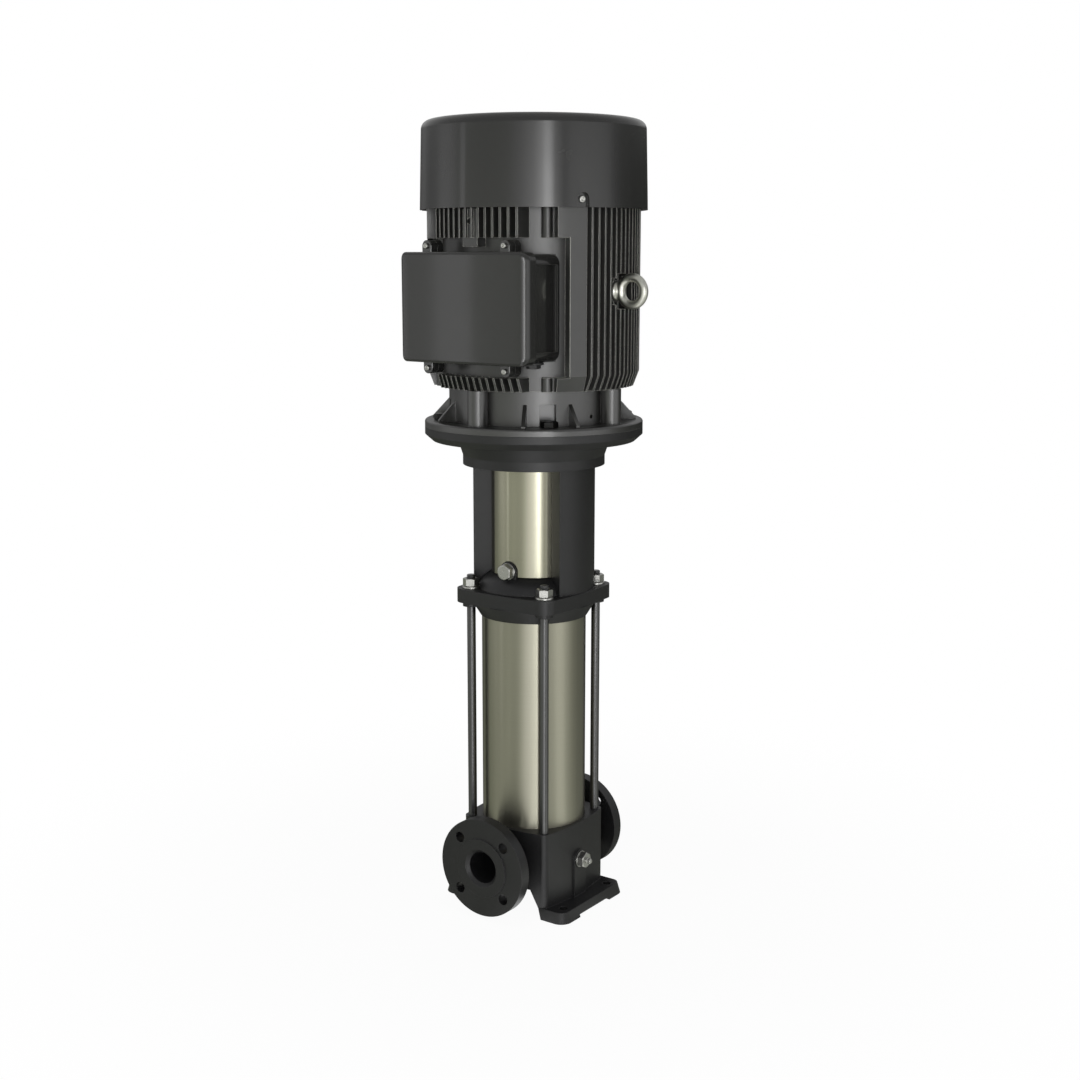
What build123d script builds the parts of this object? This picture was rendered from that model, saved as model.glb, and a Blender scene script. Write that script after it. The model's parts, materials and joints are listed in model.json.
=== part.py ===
"""Vertical multistage in-line pump with its flange-mounted motor.

The pump stands on its foot at z = 0, with the shaft on the Z axis.  The inlet flange looks along -Y, the
outlet flange along +Y, the drain plug and the lifting eyebolt along +X.  All lengths are in millimetres.
"""
import os
from math import cos, radians, sin

from build123d import *

os.makedirs("parts", exist_ok=True)

# ---- clearances -------------------------------------------------------------------------------------
running_gap = 0.05          # radial gap of a shaft in its bush, or a plug in its hole
slip_gap = 0.15             # radial gap of pieces that slide together when the pump is assembled
free_gap = 0.3              # gap between a turning piece and what stands beside it
edge_chamfer = 1.2          # on the ends of shafts, bolts and plugs

# ---- ports and base ---------------------------------------------------------------------------------
face_to_face = 300.0        # inlet face to outlet face
port_height = 90.0
port_bore_r = 26.5
port_bore_l = 40.0          # machined bore, behind which the cast passage is wider
port_mouth_r = 32.0
passage_r = 28.5
flange_r = 82.5
flange_t = 20.0
raised_face_r = 49.5
raised_face_h = 2.0
flange_pcd = 125.0
flange_hole_r = 9.0
flange_bolts = 4
neck_r = 41.0
base_top_z = 145.0
foot_length = 255.0
foot_width = 184.0
foot_corner_r = 20.0
foot_t = 18.0
foot_taper = 16.0           # degrees, on the foot's edges
foot_relief_h = 4.5
foot_pad_y = 44.0           # the underside is relieved between the corner pads
foot_spacing_x = 215.0
foot_spacing_y = 130.0
foot_hole_r = 7.0
arch_half_foot = 80.0       # the open arch between the feet, at the floor
arch_half_top = 57.0
arch_h = 46.0
suction_bowl_r = 46.0
bowl_floor_z = 60.0
bowl_wall_t = 12.0
annulus_r = 78.0            # outer wall of the annular discharge chamber
duct_wall_t = 8.0

# ---- stay bolts -------------------------------------------------------------------------------------
stay_spacing = 149.0        # square pattern
stay_r = 7.25
stay_thread_depth = 36.0
stay_hole_r = 8.75
stay_stub_h = 6.0
nut_af = 24.0
nut_h = 13.0
washer_r = 15.0
washer_t = 3.0
base_corner_r = 12.0
base_bulge = 7.5            # how far each side of the base bows out past its corners
stay_lug_r = 14.0           # lugs under the head's corners
stay_lug_h = 8.0
head_corner_r = 23.0
head_bulge = 5.5

# ---- sleeve and chamber stack -----------------------------------------------------------------------
sleeve_r = 87.0
sleeve_t = 2.5
sleeve_seat_depth = 3.0
spigot_h = 12.0
o_ring_h = 5.0
o_ring_t = 2.9
o_ring_margin = 3.0         # from the spigot's edge to the O-ring groove
stage_count = 7
stage_pitch = 45.0
chamber_r = 76.0
chamber_t = 2.0
chamber_floor_t = 2.5
inlet_chamber_h = 14.0
inlet_chamber_r = 66.0
discharge_chamber_h = 22.0
discharge_chamber_r = 70.0
stack_seat_rise = 5.0       # the stack stands this far above the base's top face
eye_r = 32.0                # outside of the impeller's inlet collar
eye_t = 2.0
impeller_r = 62.0
impeller_shroud_t = 2.0
impeller_blade_h = 10.0
impeller_blade_t = 3.0
impeller_blades = 6
blade_mid_angle = 18.0      # the blade's middle and end, measured round from its start
blade_wrap = 50.0
blade_start_r = 26.0
blade_end_r = 60.0
impeller_lift = 5.0         # impeller shroud above the chamber floor
hub_r = 17.0
hub_rise = 9.0              # hub above the upper shroud
vane_count = 8
vane_h = 11.0
vane_t = 4.0
vane_disc_t = 2.0
vane_disc_r = 66.0
vane_root_r = 40.0
vane_mid_angle = 16.0       # the vane's middle and end, measured round from its root
vane_wrap = 42.0
strap_t = 1.2
strap_w = 15.0
strap_count = 4

# ---- pump shaft and its bushes ----------------------------------------------------------------------
shaft_r = 11.0
spacer_r = 15.0
bush_r = 15.5
bush_holder_r = 21.0
bush_h = 11.0
spider_arm_t = 6.0
shaft_foot_drop = 8.0       # shaft end below the bottom bush

# ---- pump head --------------------------------------------------------------------------------------
head_ring_drop = 6.0        # head skirt below the top of the stack
head_ring_h = 23.0
head_ring_r = 104.0
head_lip_t = 2.6
head_sleeve_depth = 7.0
dome_foot_r = 93.0
dome_top_r = 66.0
dome_h = 26.0
dome_crown = 3.0
dome_wall_t = 15.0
seal_bore_r = 31.0
seal_boss_r = 38.0
seal_boss_h = 39.0
seal_throat_r = 24.0
seal_seat_t = 8.0
seal_flange_r = 44.0
seal_flange_t = 8.0

# ---- motor stool and guards -------------------------------------------------------------------------
stool_plate_t = 23.0
stool_r = 101.0
pillar_inner_r = 70.0
window_half_angle = 60.0
window_h = 206.0
stool_collar_h = 15.0       # straight collar under the motor flange
stool_collar_r = 116.5
stool_neck_r = 125.0
stool_neck_h = 25.0         # flare from the collar to the motor flange
motor_flange_r = 178.0
stool_flange_t = 22.7
stool_rim_t = 12.0          # full-width rim, under which the flange tapers in
stool_rim_low_r = 166.0
motor_pcd = 300.0
motor_bolts = 4
motor_bolt_r = 8.0
motor_hole_r = 9.0
motor_bolt_grip = 30.0
motor_bolt_af = 24.0
motor_bolt_head_h = 10.0
register_r = 125.0
register_h = 5.0
guard_t = 1.2
guard_half_angle = 67.0

# ---- priming plug and drain plug --------------------------------------------------------------------
plug_af = 24.0
plug_head_h = 11.0
plug_collar_r = 14.0
plug_collar_t = 2.0
priming_rise = 9.0          # axis of the priming plug above the dome's top
priming_boss_r = 16.0
priming_boss_y = 72.0
priming_shank_r = 10.4
priming_shank_l = 14.0
drain_z = 81.0
drain_pad_half = 17.0
drain_pad_x = 97.0
drain_shank_r = 8.0
drain_shank_l = 13.0
drain_tip_r = 5.0
drain_tip_l = 9.0

# ---- coupling ---------------------------------------------------------------------------------------
coupling_r = 38.0
coupling_h = 100.0
coupling_split = 2.0
coupling_pin_l = 38.0
coupling_screw_r = 5.0
coupling_screw_head_r = 8.0
coupling_screw_head_h = 5.0
coupling_screw_seat = 21.0  # screw head seat from the split
coupling_screw_pitch = 60.0
coupling_screw_x = 28.0
coupling_pin_r = 2.5
motor_shaft_r = 21.0
motor_shaft_drop = 110.0    # shaft end below the motor flange
shaft_overlap = 48.0        # length of the motor shaft inside the coupling

# ---- motor ------------------------------------------------------------------------------------------
shield_flange_t = 11.3
shield_barrel_r = 138.0
shield_wall_t = 10.0
shield_h = 66.5             # motor flange seat to the finned housing
shield_post_r = 16.0
shield_rib_t = 6.0
shield_rib_h = 34.0
shield_rib_pitch = 30.0     # degrees between ribs, none at the posts and pockets
shield_pocket_w = 26.0
shield_pocket_h = 34.0
shield_drain_r = 3.0
shield_drain_rise = 24.0    # drain hole above the motor flange seat
shield_drain_angle = 76.6   # from the -Y axis towards +X
housing_h = 283.5
housing_bore_r = 118.0
housing_barrel_r = 146.0
fin_tip_r = 171.0
fin_t = 3.2
fin_pitch = 12.0
fins_front = 14             # fins towards -Y and +Y
fins_side = 12              # fins towards +X and -X
fin_foot_slope_h = 24.0     # the fins' lower ends slope in
fin_foot_slope_r = 162.0
pad_start = 48.0            # smooth corner pads, degrees from the Y axis
pad_end = 64.0
pad_boss_half = 14.0        # upright boss with a tapped hole, above the terminal box
pad_boss_y = 166.0
pad_boss_drop = 8.0         # boss top below the housing's upper face
pad_boss_h = 56.0
pad_hole_r = 5.0
pad_hole_depth = 12.0
pad_hole_drop = 26.0        # hole below the housing's upper face
tie_post_angle = 43.5
tie_post_r = 8.5
core_inner_r = 72.0
core_h = 170.0
core_rise = 58.0            # core above the housing's lower face
winding_h = 26.0
air_gap = 0.6
rotor_hub_r = 26.0
bearing_r = 50.0
bearing_bore_r = 22.5
bearing_w = 25.0
race_t = 8.0
bearing_rise = 14.0         # drive-end bearing above the motor flange seat
tail_bearing_r = 42.5
tail_bearing_bore_r = 20.0
tail_bearing_w = 18.0
tail_shaft_r = 17.0
end_shield_t = 10.0
end_hub_h = 26.0

# ---- fan and cover ----------------------------------------------------------------------------------
cover_lap = 6.0             # the cover's rim hangs below the top of the housing
cover_h = 138.0
cover_overhang = 11.0       # the cover's rim stands out past the fins' tips
cover_draft = 3.6           # the top is smaller than the rim
cover_t = 2.5
cover_edge_r = 14.0
grille_rings = 6
grille_inner_r = 36.0
grille_pitch = 18.0
grille_slot = 9.0
grille_spokes = 6
grille_spoke_w = 7.0
cover_screw_angle = 60.0    # from the Y axis, on both sides
cover_screw_rise = 12.0
cover_screw_r = 5.5
cover_screw_h = 3.5
cover_screw_shank_r = 3.0
notch_half = 10.0
notch_depth = 7.0
fan_r = 128.0
fan_hub_r = 30.0
fan_disc_t = 3.0
fan_hub_h = 24.0
fan_blade_h = 40.0
fan_blade_t = 3.0
fan_blades = 9
fan_rise = 46.0             # fan disc above the top of the housing

# ---- terminal box -----------------------------------------------------------------------------------
box_front_y = 195.0
box_half_w = 123.0
box_bottom_z = 919.0
box_h = 169.0
box_corner_r = 16.0
box_crown = 4.0
lid_depth = 30.0
lid_wall_t = 4.0
gasket_t = 1.5
box_inset = 3.0             # box body inside the lid's outline
box_seat_y = 150.0          # flat pad on the housing
box_skirt_y = 100.0
box_wall_t = 5.0
box_recess = 3.5
lid_screw_x = 75.0
lid_screw_r = 4.2
lid_screw_h = 4.0
lid_screw_l = 32.0          # shank below the head
lid_lug_r = 9.0
terminal_l = 70.0
terminal_w = 45.0
terminal_h = 16.0
stud_r = 3.0
entry_r = 12.5
entry_x = 98.0
entry_y = 137.0
entry_plug_r = 16.0
entry_plug_h = 3.0
entry_plug_af = 20.0
entry_plug_hex_h = 6.0

# ---- eyebolt ----------------------------------------------------------------------------------------
eye_seat_x = 158.0
eye_z = 1028.0
eye_collar_r = 15.0
eye_collar_h = 6.0
eye_collar_taper = 12.0     # degrees
eye_ring_r = 21.0
eye_wire_r = 6.8
eye_centre = 29.5           # ring centre from the seat
eye_thread_r = 6.0
eye_thread_l = 20.0
eye_boss_r = 17.0

# ---- heights worked out from the above --------------------------------------------------------------
port_face_y = face_to_face / 2
stay_half = stay_spacing / 2
stack_seat_z = base_top_z + stack_seat_rise
first_floor_z = stack_seat_z + inlet_chamber_h
last_floor_z = first_floor_z + stage_count * stage_pitch
stack_top_z = last_floor_z + discharge_chamber_h
head_bottom_z = stack_top_z - head_ring_drop
stool_seat_z = head_bottom_z + head_ring_h
plate_top_z = stool_seat_z + stool_plate_t
dome_top_z = plate_top_z + dome_h
window_top_z = plate_top_z + window_h
collar_top_z = window_top_z + stool_collar_h
flare_top_z = collar_top_z + stool_neck_h
motor_seat_z = flare_top_z + stool_flange_t
housing_z = motor_seat_z + shield_h
housing_top_z = housing_z + housing_h
cover_rim_z = housing_top_z - cover_lap
cover_top_z = cover_rim_z + cover_h
sleeve_inner_r = sleeve_r - sleeve_t
sleeve_bottom_z = base_top_z - sleeve_seat_depth
sleeve_top_z = head_bottom_z + head_sleeve_depth
spigot_r = sleeve_inner_r - slip_gap
shaft_end_z = stack_seat_z - shaft_foot_drop
motor_shaft_end_z = motor_seat_z - motor_shaft_drop
coupling_z = motor_shaft_end_z + shaft_overlap - coupling_h
priming_z = dome_top_z + priming_rise
cover_rim_r = fin_tip_r + cover_overhang
cover_top_r = cover_rim_r - cover_draft
flat = Plane.XZ             # radius across, height up: the section plane of every turned piece


def export(piece, name):
    """Label a finished piece and write it to its own STEP file."""
    piece.label = name
    export_step(piece, f"parts/{name}.step")


def bulged_square(half, corner_r, bulge):
    """Square with round corners whose four sides bow out by the bulge."""
    with BuildSketch() as outline:
        for turn in range(4):
            with Locations(Rotation(0, 0, 90 * turn)):
                with BuildLine(mode=Mode.PRIVATE) as side:
                    ThreePointArc((-half, half + corner_r), (0, half + corner_r + bulge), (half, half + corner_r))
                    Polyline((half, half + corner_r), (0, 0), (-half, half + corner_r))
                add(make_face(side.edges(), mode=Mode.PRIVATE))
        Rectangle(2 * half, 2 * half)
        with GridLocations(2 * half, 2 * half, 2, 2):
            Circle(corner_r)
    return outline.sketch


def crescent(start, middle, end, thickness):
    """Thin blade section between two arcs that share their ends."""
    with BuildSketch() as blade:
        with BuildLine():
            ThreePointArc(start, middle, end)
            ThreePointArc(end, (middle[0], middle[1] + thickness), start)
        make_face()
    return blade.sketch


def polar(radius, angle):
    """Point at a radius and an angle in degrees."""
    return (radius * cos(radians(angle)), radius * sin(radians(angle)))


# ---- base casting -----------------------------------------------------------------------------------
groove_floor_r = sleeve_inner_r - o_ring_t
foot_slot = 2 * foot_pad_y
with BuildPart() as base_casting:
    with BuildSketch():
        add(bulged_square(stay_half, base_corner_r, base_bulge))
    extrude(amount=base_top_z)
    with BuildSketch():
        RectangleRounded(foot_length, foot_width, foot_corner_r)
    extrude(amount=foot_t, taper=foot_taper)
    for side in (-1, 1):
        with BuildSketch(Plane.XZ.offset(side * (port_face_y - raised_face_h))):
            with Locations((0, port_height)):
                Circle(flange_r)
        extrude(amount=-side * flange_t)
        with BuildSketch(Plane.XZ.offset(side * port_face_y)):
            with Locations((0, port_height)):
                Circle(raised_face_r)
        extrude(amount=-side * raised_face_h)
    with BuildSketch(Plane.XZ.offset(-port_face_y + flange_t)):
        with Locations((0, port_height)):
            Circle(neck_r)
    extrude(amount=face_to_face - 2 * flange_t)
    with BuildSketch(Plane.YZ.offset(drain_pad_x)):
        with Locations((0, drain_z)):
            Circle(drain_pad_half)
        with Locations((0, drain_z / 2)):
            Rectangle(2 * drain_pad_half, drain_z)
    extrude(amount=-(drain_pad_x - stay_half))
    with BuildSketch(Plane.XY.offset(base_top_z)):
        Circle(spigot_r)
    extrude(amount=spigot_h)
    with BuildSketch(Plane.XY.offset(base_top_z + spigot_h - o_ring_margin - o_ring_h)):
        Circle(spigot_r)
        Circle(groove_floor_r, mode=Mode.SUBTRACT)
    extrude(amount=o_ring_h, mode=Mode.SUBTRACT)
    with BuildSketch(Plane.XY.offset(sleeve_bottom_z)):
        Circle(sleeve_r + slip_gap)
        Circle(spigot_r, mode=Mode.SUBTRACT)
    extrude(amount=sleeve_seat_depth, mode=Mode.SUBTRACT)
    with BuildSketch(Plane.XY.offset(bowl_floor_z)):
        Circle(annulus_r)
    extrude(amount=base_top_z + spigot_h - bowl_floor_z, mode=Mode.SUBTRACT)
    with BuildSketch(Plane.XY.offset(bowl_floor_z)):
        Circle(suction_bowl_r + bowl_wall_t)
    extrude(amount=stack_seat_z - bowl_floor_z)
    with BuildSketch(Plane.XZ.offset(suction_bowl_r)):
        with Locations((0, port_height)):
            Circle(passage_r + duct_wall_t)
    extrude(amount=annulus_r - suction_bowl_r + duct_wall_t)
    with BuildSketch(Plane.XY.offset(bowl_floor_z)):
        Circle(suction_bowl_r)
    extrude(amount=stack_seat_z - bowl_floor_z, mode=Mode.SUBTRACT)
    passage_end_y = port_face_y - port_bore_l
    with BuildSketch(Plane.XZ):
        with Locations((0, port_height)):
            Circle(passage_r)
    extrude(amount=passage_end_y, mode=Mode.SUBTRACT)
    with BuildSketch(Plane.XZ.offset(-passage_end_y)):
        with Locations((0, port_height)):
            Circle(passage_r)
    extrude(amount=passage_end_y - suction_bowl_r - bowl_wall_t - passage_r / 2, mode=Mode.SUBTRACT)
    for side in (-1, 1):
        with BuildSketch(Plane.XZ.offset(side * port_face_y)):
            with Locations((0, port_height)):
                Circle(port_bore_r)
        extrude(amount=-side * port_bore_l, mode=Mode.SUBTRACT)
        with BuildSketch(Plane.XZ.offset(side * port_face_y)):
            with Locations((0, port_height)):
                Circle(port_mouth_r)
        extrude(amount=-side * (port_mouth_r - port_bore_r), taper=45, mode=Mode.SUBTRACT)
        with BuildSketch(Plane.XZ.offset(side * port_face_y)):
            with Locations((0, port_height)):
                with PolarLocations(flange_pcd / 2, flange_bolts, start_angle=180 / flange_bolts):
                    Circle(flange_hole_r)
        extrude(amount=-side * (flange_t + raised_face_h), mode=Mode.SUBTRACT)
    arch_depth = foot_width / 2 + base_bulge
    with BuildSketch(Plane.XZ):
        with BuildLine():
            Polyline((-arch_half_foot, 0), (-arch_half_top, arch_h), (arch_half_top, arch_h),
                     (arch_half_foot, 0), close=True)
        make_face()
    extrude(amount=arch_depth, both=True, mode=Mode.SUBTRACT)
    with BuildSketch():
        Rectangle(foot_length + foot_t, foot_slot)
    extrude(amount=foot_relief_h, mode=Mode.SUBTRACT)
    with BuildSketch(Plane.XY.offset(foot_t)):
        with GridLocations(foot_spacing_x, foot_spacing_y, 2, 2):
            Circle(foot_hole_r)
    extrude(amount=-foot_t, mode=Mode.SUBTRACT)
    with BuildSketch(Plane.XY.offset(base_top_z)):
        with GridLocations(stay_spacing, stay_spacing, 2, 2):
            Circle(stay_r + running_gap)
    extrude(amount=-stay_thread_depth, mode=Mode.SUBTRACT)
    with BuildSketch(Plane.YZ.offset(drain_pad_x)):
        with Locations((0, drain_z)):
            Circle(drain_shank_r + running_gap)
    extrude(amount=-(drain_pad_x - annulus_r + duct_wall_t), mode=Mode.SUBTRACT)
export(base_casting.part, "base_casting")

with BuildPart() as drain_plug:
    with BuildSketch(Plane.YZ.offset(drain_pad_x)):
        with Locations((0, drain_z)):
            Circle(plug_collar_r)
    extrude(amount=plug_collar_t)
    with BuildSketch(Plane.YZ.offset(drain_pad_x + plug_collar_t)):
        with Locations((0, drain_z)):
            RegularPolygon(plug_af / 2, 6, major_radius=False)
    extrude(amount=plug_head_h)
    with BuildSketch(Plane.YZ.offset(drain_pad_x + plug_collar_t + plug_head_h)):
        with Locations((0, drain_z)):
            Circle(drain_tip_r)
    extrude(amount=drain_tip_l)
    chamfer(drain_plug.faces().sort_by(Axis.X)[-1].edges(), edge_chamfer)
    with BuildSketch(Plane.YZ.offset(drain_pad_x)):
        with Locations((0, drain_z)):
            Circle(drain_shank_r)
    extrude(amount=-drain_shank_l)
export(drain_plug.part, "drain_plug")

# ---- outer sleeve, its seals and the stay bolts -----------------------------------------------------
with BuildPart() as outer_sleeve:
    with BuildSketch(Plane.XY.offset(sleeve_bottom_z)):
        Circle(sleeve_r)
        Circle(sleeve_inner_r, mode=Mode.SUBTRACT)
    extrude(amount=sleeve_top_z - sleeve_bottom_z)
export(outer_sleeve.part, "outer_sleeve")

lower_ring_z = base_top_z + spigot_h - o_ring_margin - o_ring_h
upper_ring_z = head_bottom_z - spigot_h + o_ring_margin
with BuildPart() as sleeve_o_rings:
    for ring_z in (lower_ring_z, upper_ring_z):
        with BuildSketch(Plane.XY.offset(ring_z)):
            Circle(sleeve_inner_r)
            Circle(groove_floor_r, mode=Mode.SUBTRACT)
        extrude(amount=o_ring_h)
export(sleeve_o_rings.part, "sleeve_o_rings")

stay_bottom_z = base_top_z - stay_thread_depth
stay_top_z = plate_top_z + washer_t + nut_h + stay_stub_h
with BuildPart() as stay_bolts:
    with BuildSketch(Plane.XY.offset(stay_bottom_z)):
        with GridLocations(stay_spacing, stay_spacing, 2, 2):
            Circle(stay_r)
    extrude(amount=stay_top_z - stay_bottom_z)
    chamfer(stay_bolts.faces().group_by(Axis.Z)[-1].edges(), edge_chamfer)
export(stay_bolts.part, "stay_bolts")

with BuildPart() as stay_washers:
    with BuildSketch(Plane.XY.offset(plate_top_z)):
        with GridLocations(stay_spacing, stay_spacing, 2, 2):
            Circle(washer_r)
            Circle(stay_r + running_gap, mode=Mode.SUBTRACT)
    extrude(amount=washer_t)
export(stay_washers.part, "stay_washers")

with BuildPart() as stay_nuts:
    with BuildSketch(Plane.XY.offset(plate_top_z + washer_t)):
        with GridLocations(stay_spacing, stay_spacing, 2, 2):
            RegularPolygon(nut_af / 2, 6, major_radius=False)
            Circle(stay_r + running_gap, mode=Mode.SUBTRACT)
    extrude(amount=nut_h)
export(stay_nuts.part, "stay_nuts")

# ---- chamber stack ----------------------------------------------------------------------------------
with BuildPart() as inlet_chamber:
    with BuildSketch(Plane.XY.offset(stack_seat_z)):
        Circle(inlet_chamber_r)
        Circle(suction_bowl_r, mode=Mode.SUBTRACT)
    extrude(amount=chamber_floor_t)
    with BuildSketch(Plane.XY.offset(stack_seat_z)):
        Circle(inlet_chamber_r)
        Circle(inlet_chamber_r - chamber_t, mode=Mode.SUBTRACT)
    extrude(amount=inlet_chamber_h)
    with BuildSketch(Plane.XY.offset(first_floor_z - chamber_floor_t)):
        Circle(chamber_r)
        Circle(inlet_chamber_r - chamber_t, mode=Mode.SUBTRACT)
    extrude(amount=chamber_floor_t)
    with BuildSketch(Plane.XY.offset(stack_seat_z)):
        with PolarLocations((inlet_chamber_r + bush_r) / 2, 3):
            Rectangle(inlet_chamber_r - chamber_t / 2 - bush_r, spider_arm_t)
        Circle(bush_holder_r)
        Circle(bush_r, mode=Mode.SUBTRACT)
    extrude(amount=bush_h)
export(inlet_chamber.part, "inlet_chamber")


def stage_chamber(floor_z, wall_r, wall_h, has_vanes):
    """Chamber wall and floor, with the return vanes of the stage below hanging under the floor."""
    with BuildPart() as chamber:
        with BuildSketch(Plane.XY.offset(floor_z)):
            Circle(chamber_r)
            Circle(eye_r + free_gap, mode=Mode.SUBTRACT)
        extrude(amount=chamber_floor_t)
        with BuildSketch(Plane.XY.offset(floor_z)):
            Circle(wall_r)
            Circle(wall_r - chamber_t, mode=Mode.SUBTRACT)
        extrude(amount=wall_h)
        if has_vanes:
            with BuildSketch(Plane.XY.offset(floor_z - vane_h)):
                with PolarLocations(0, vane_count):
                    add(crescent((vane_root_r, 0), polar((vane_root_r + vane_disc_r) / 2, vane_mid_angle),
                                 polar(vane_disc_r, vane_wrap), vane_t))
            extrude(amount=vane_h)
            with BuildSketch(Plane.XY.offset(floor_z - vane_h - vane_disc_t)):
                Circle(vane_disc_r)
                Circle(spacer_r + 2 * free_gap, mode=Mode.SUBTRACT)
            extrude(amount=vane_disc_t)
    return chamber.part


for stage in range(stage_count):
    stage_floor_z = first_floor_z + stage * stage_pitch
    export(stage_chamber(stage_floor_z, chamber_r, stage_pitch, stage > 0), f"chamber_{stage + 1}")

with BuildPart() as discharge_chamber:
    add(stage_chamber(last_floor_z, discharge_chamber_r, discharge_chamber_h, True))
    with BuildSketch(Plane.XY.offset(stack_top_z - bush_h)):
        with PolarLocations((discharge_chamber_r + bush_r) / 2, 3):
            Rectangle(discharge_chamber_r - chamber_t / 2 - bush_r, spider_arm_t)
        Circle(bush_holder_r)
        Circle(bush_r, mode=Mode.SUBTRACT)
    extrude(amount=bush_h)
export(discharge_chamber.part, "discharge_chamber")

with BuildPart() as shaft_bushes:
    for bush_z in (stack_seat_z, stack_top_z - bush_h):
        with BuildSketch(Plane.XY.offset(bush_z)):
            Circle(bush_r)
            Circle(shaft_r + running_gap, mode=Mode.SUBTRACT)
        extrude(amount=bush_h)
export(shaft_bushes.part, "shaft_bushes")

with BuildPart() as stack_straps:
    with BuildSketch(Plane.XY.offset(first_floor_z)):
        Circle(chamber_r + strap_t)
        Circle(chamber_r, mode=Mode.SUBTRACT)
        with PolarLocations(chamber_r, strap_count):
            Rectangle(strap_w, strap_w, mode=Mode.INTERSECT)
    extrude(amount=last_floor_z - first_floor_z)
export(stack_straps.part, "stack_straps")

# ---- turning parts of the pump ----------------------------------------------------------------------
shroud_z = chamber_floor_t + impeller_lift
blade_z = shroud_z + impeller_shroud_t
upper_shroud_z = blade_z + impeller_blade_h
hub_top_z = upper_shroud_z + impeller_shroud_t + hub_rise
hub_h = hub_top_z - blade_z


def impeller(floor_z):
    """Closed impeller: two shrouds, curved blades, an inlet collar that dips into the floor, and a hub."""
    with BuildPart() as wheel:
        with BuildSketch(Plane.XY.offset(floor_z)):
            Circle(eye_r)
            Circle(eye_r - eye_t, mode=Mode.SUBTRACT)
        extrude(amount=blade_z)
        for disc_z, hole_r in ((shroud_z, eye_r - eye_t), (upper_shroud_z, shaft_r)):
            with BuildSketch(Plane.XY.offset(floor_z + disc_z)):
                Circle(impeller_r)
                Circle(hole_r, mode=Mode.SUBTRACT)
            extrude(amount=impeller_shroud_t)
        with BuildSketch(Plane.XY.offset(floor_z + blade_z)):
            with PolarLocations(0, impeller_blades):
                add(crescent((blade_start_r, 0), polar((eye_r + impeller_r) / 2, blade_mid_angle),
                             polar(blade_end_r, blade_wrap), impeller_blade_t))
        extrude(amount=impeller_blade_h)
        with BuildSketch(Plane.XY.offset(floor_z + blade_z)):
            Circle(hub_r)
            Circle(shaft_r, mode=Mode.SUBTRACT)
        extrude(amount=hub_h)
    return wheel.part


for stage in range(stage_count):
    export(impeller(first_floor_z + stage * stage_pitch), f"impeller_{stage + 1}")

spacer_h = stage_pitch - hub_h
with BuildPart() as impeller_spacers:
    for stage in range(stage_count):
        with BuildSketch(Plane.XY.offset(first_floor_z + stage * stage_pitch + hub_top_z)):
            Circle(spacer_r)
            Circle(shaft_r, mode=Mode.SUBTRACT)
        extrude(amount=spacer_h)
export(impeller_spacers.part, "impeller_spacers")

shaft_collar_z = stack_seat_z + bush_h + free_gap
pump_shaft_top_z = motor_shaft_end_z - free_gap
with BuildPart() as pump_shaft:
    with BuildSketch(Plane.XY.offset(shaft_end_z)):
        Circle(shaft_r)
    extrude(amount=pump_shaft_top_z - shaft_end_z)
    with BuildSketch(Plane.XY.offset(shaft_collar_z)):
        Circle(spacer_r)
    extrude(amount=first_floor_z + blade_z - shaft_collar_z)
    chamfer(pump_shaft.faces().sort_by(Axis.Z)[0].edges(), edge_chamfer)
    pin_z = (coupling_z + motor_shaft_end_z) / 2
    with BuildSketch(Plane.YZ.offset(-shaft_r)):
        with Locations((0, pin_z)):
            Circle(coupling_pin_r)
    extrude(amount=2 * shaft_r, mode=Mode.SUBTRACT)
export(pump_shaft.part, "pump_shaft")

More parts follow.
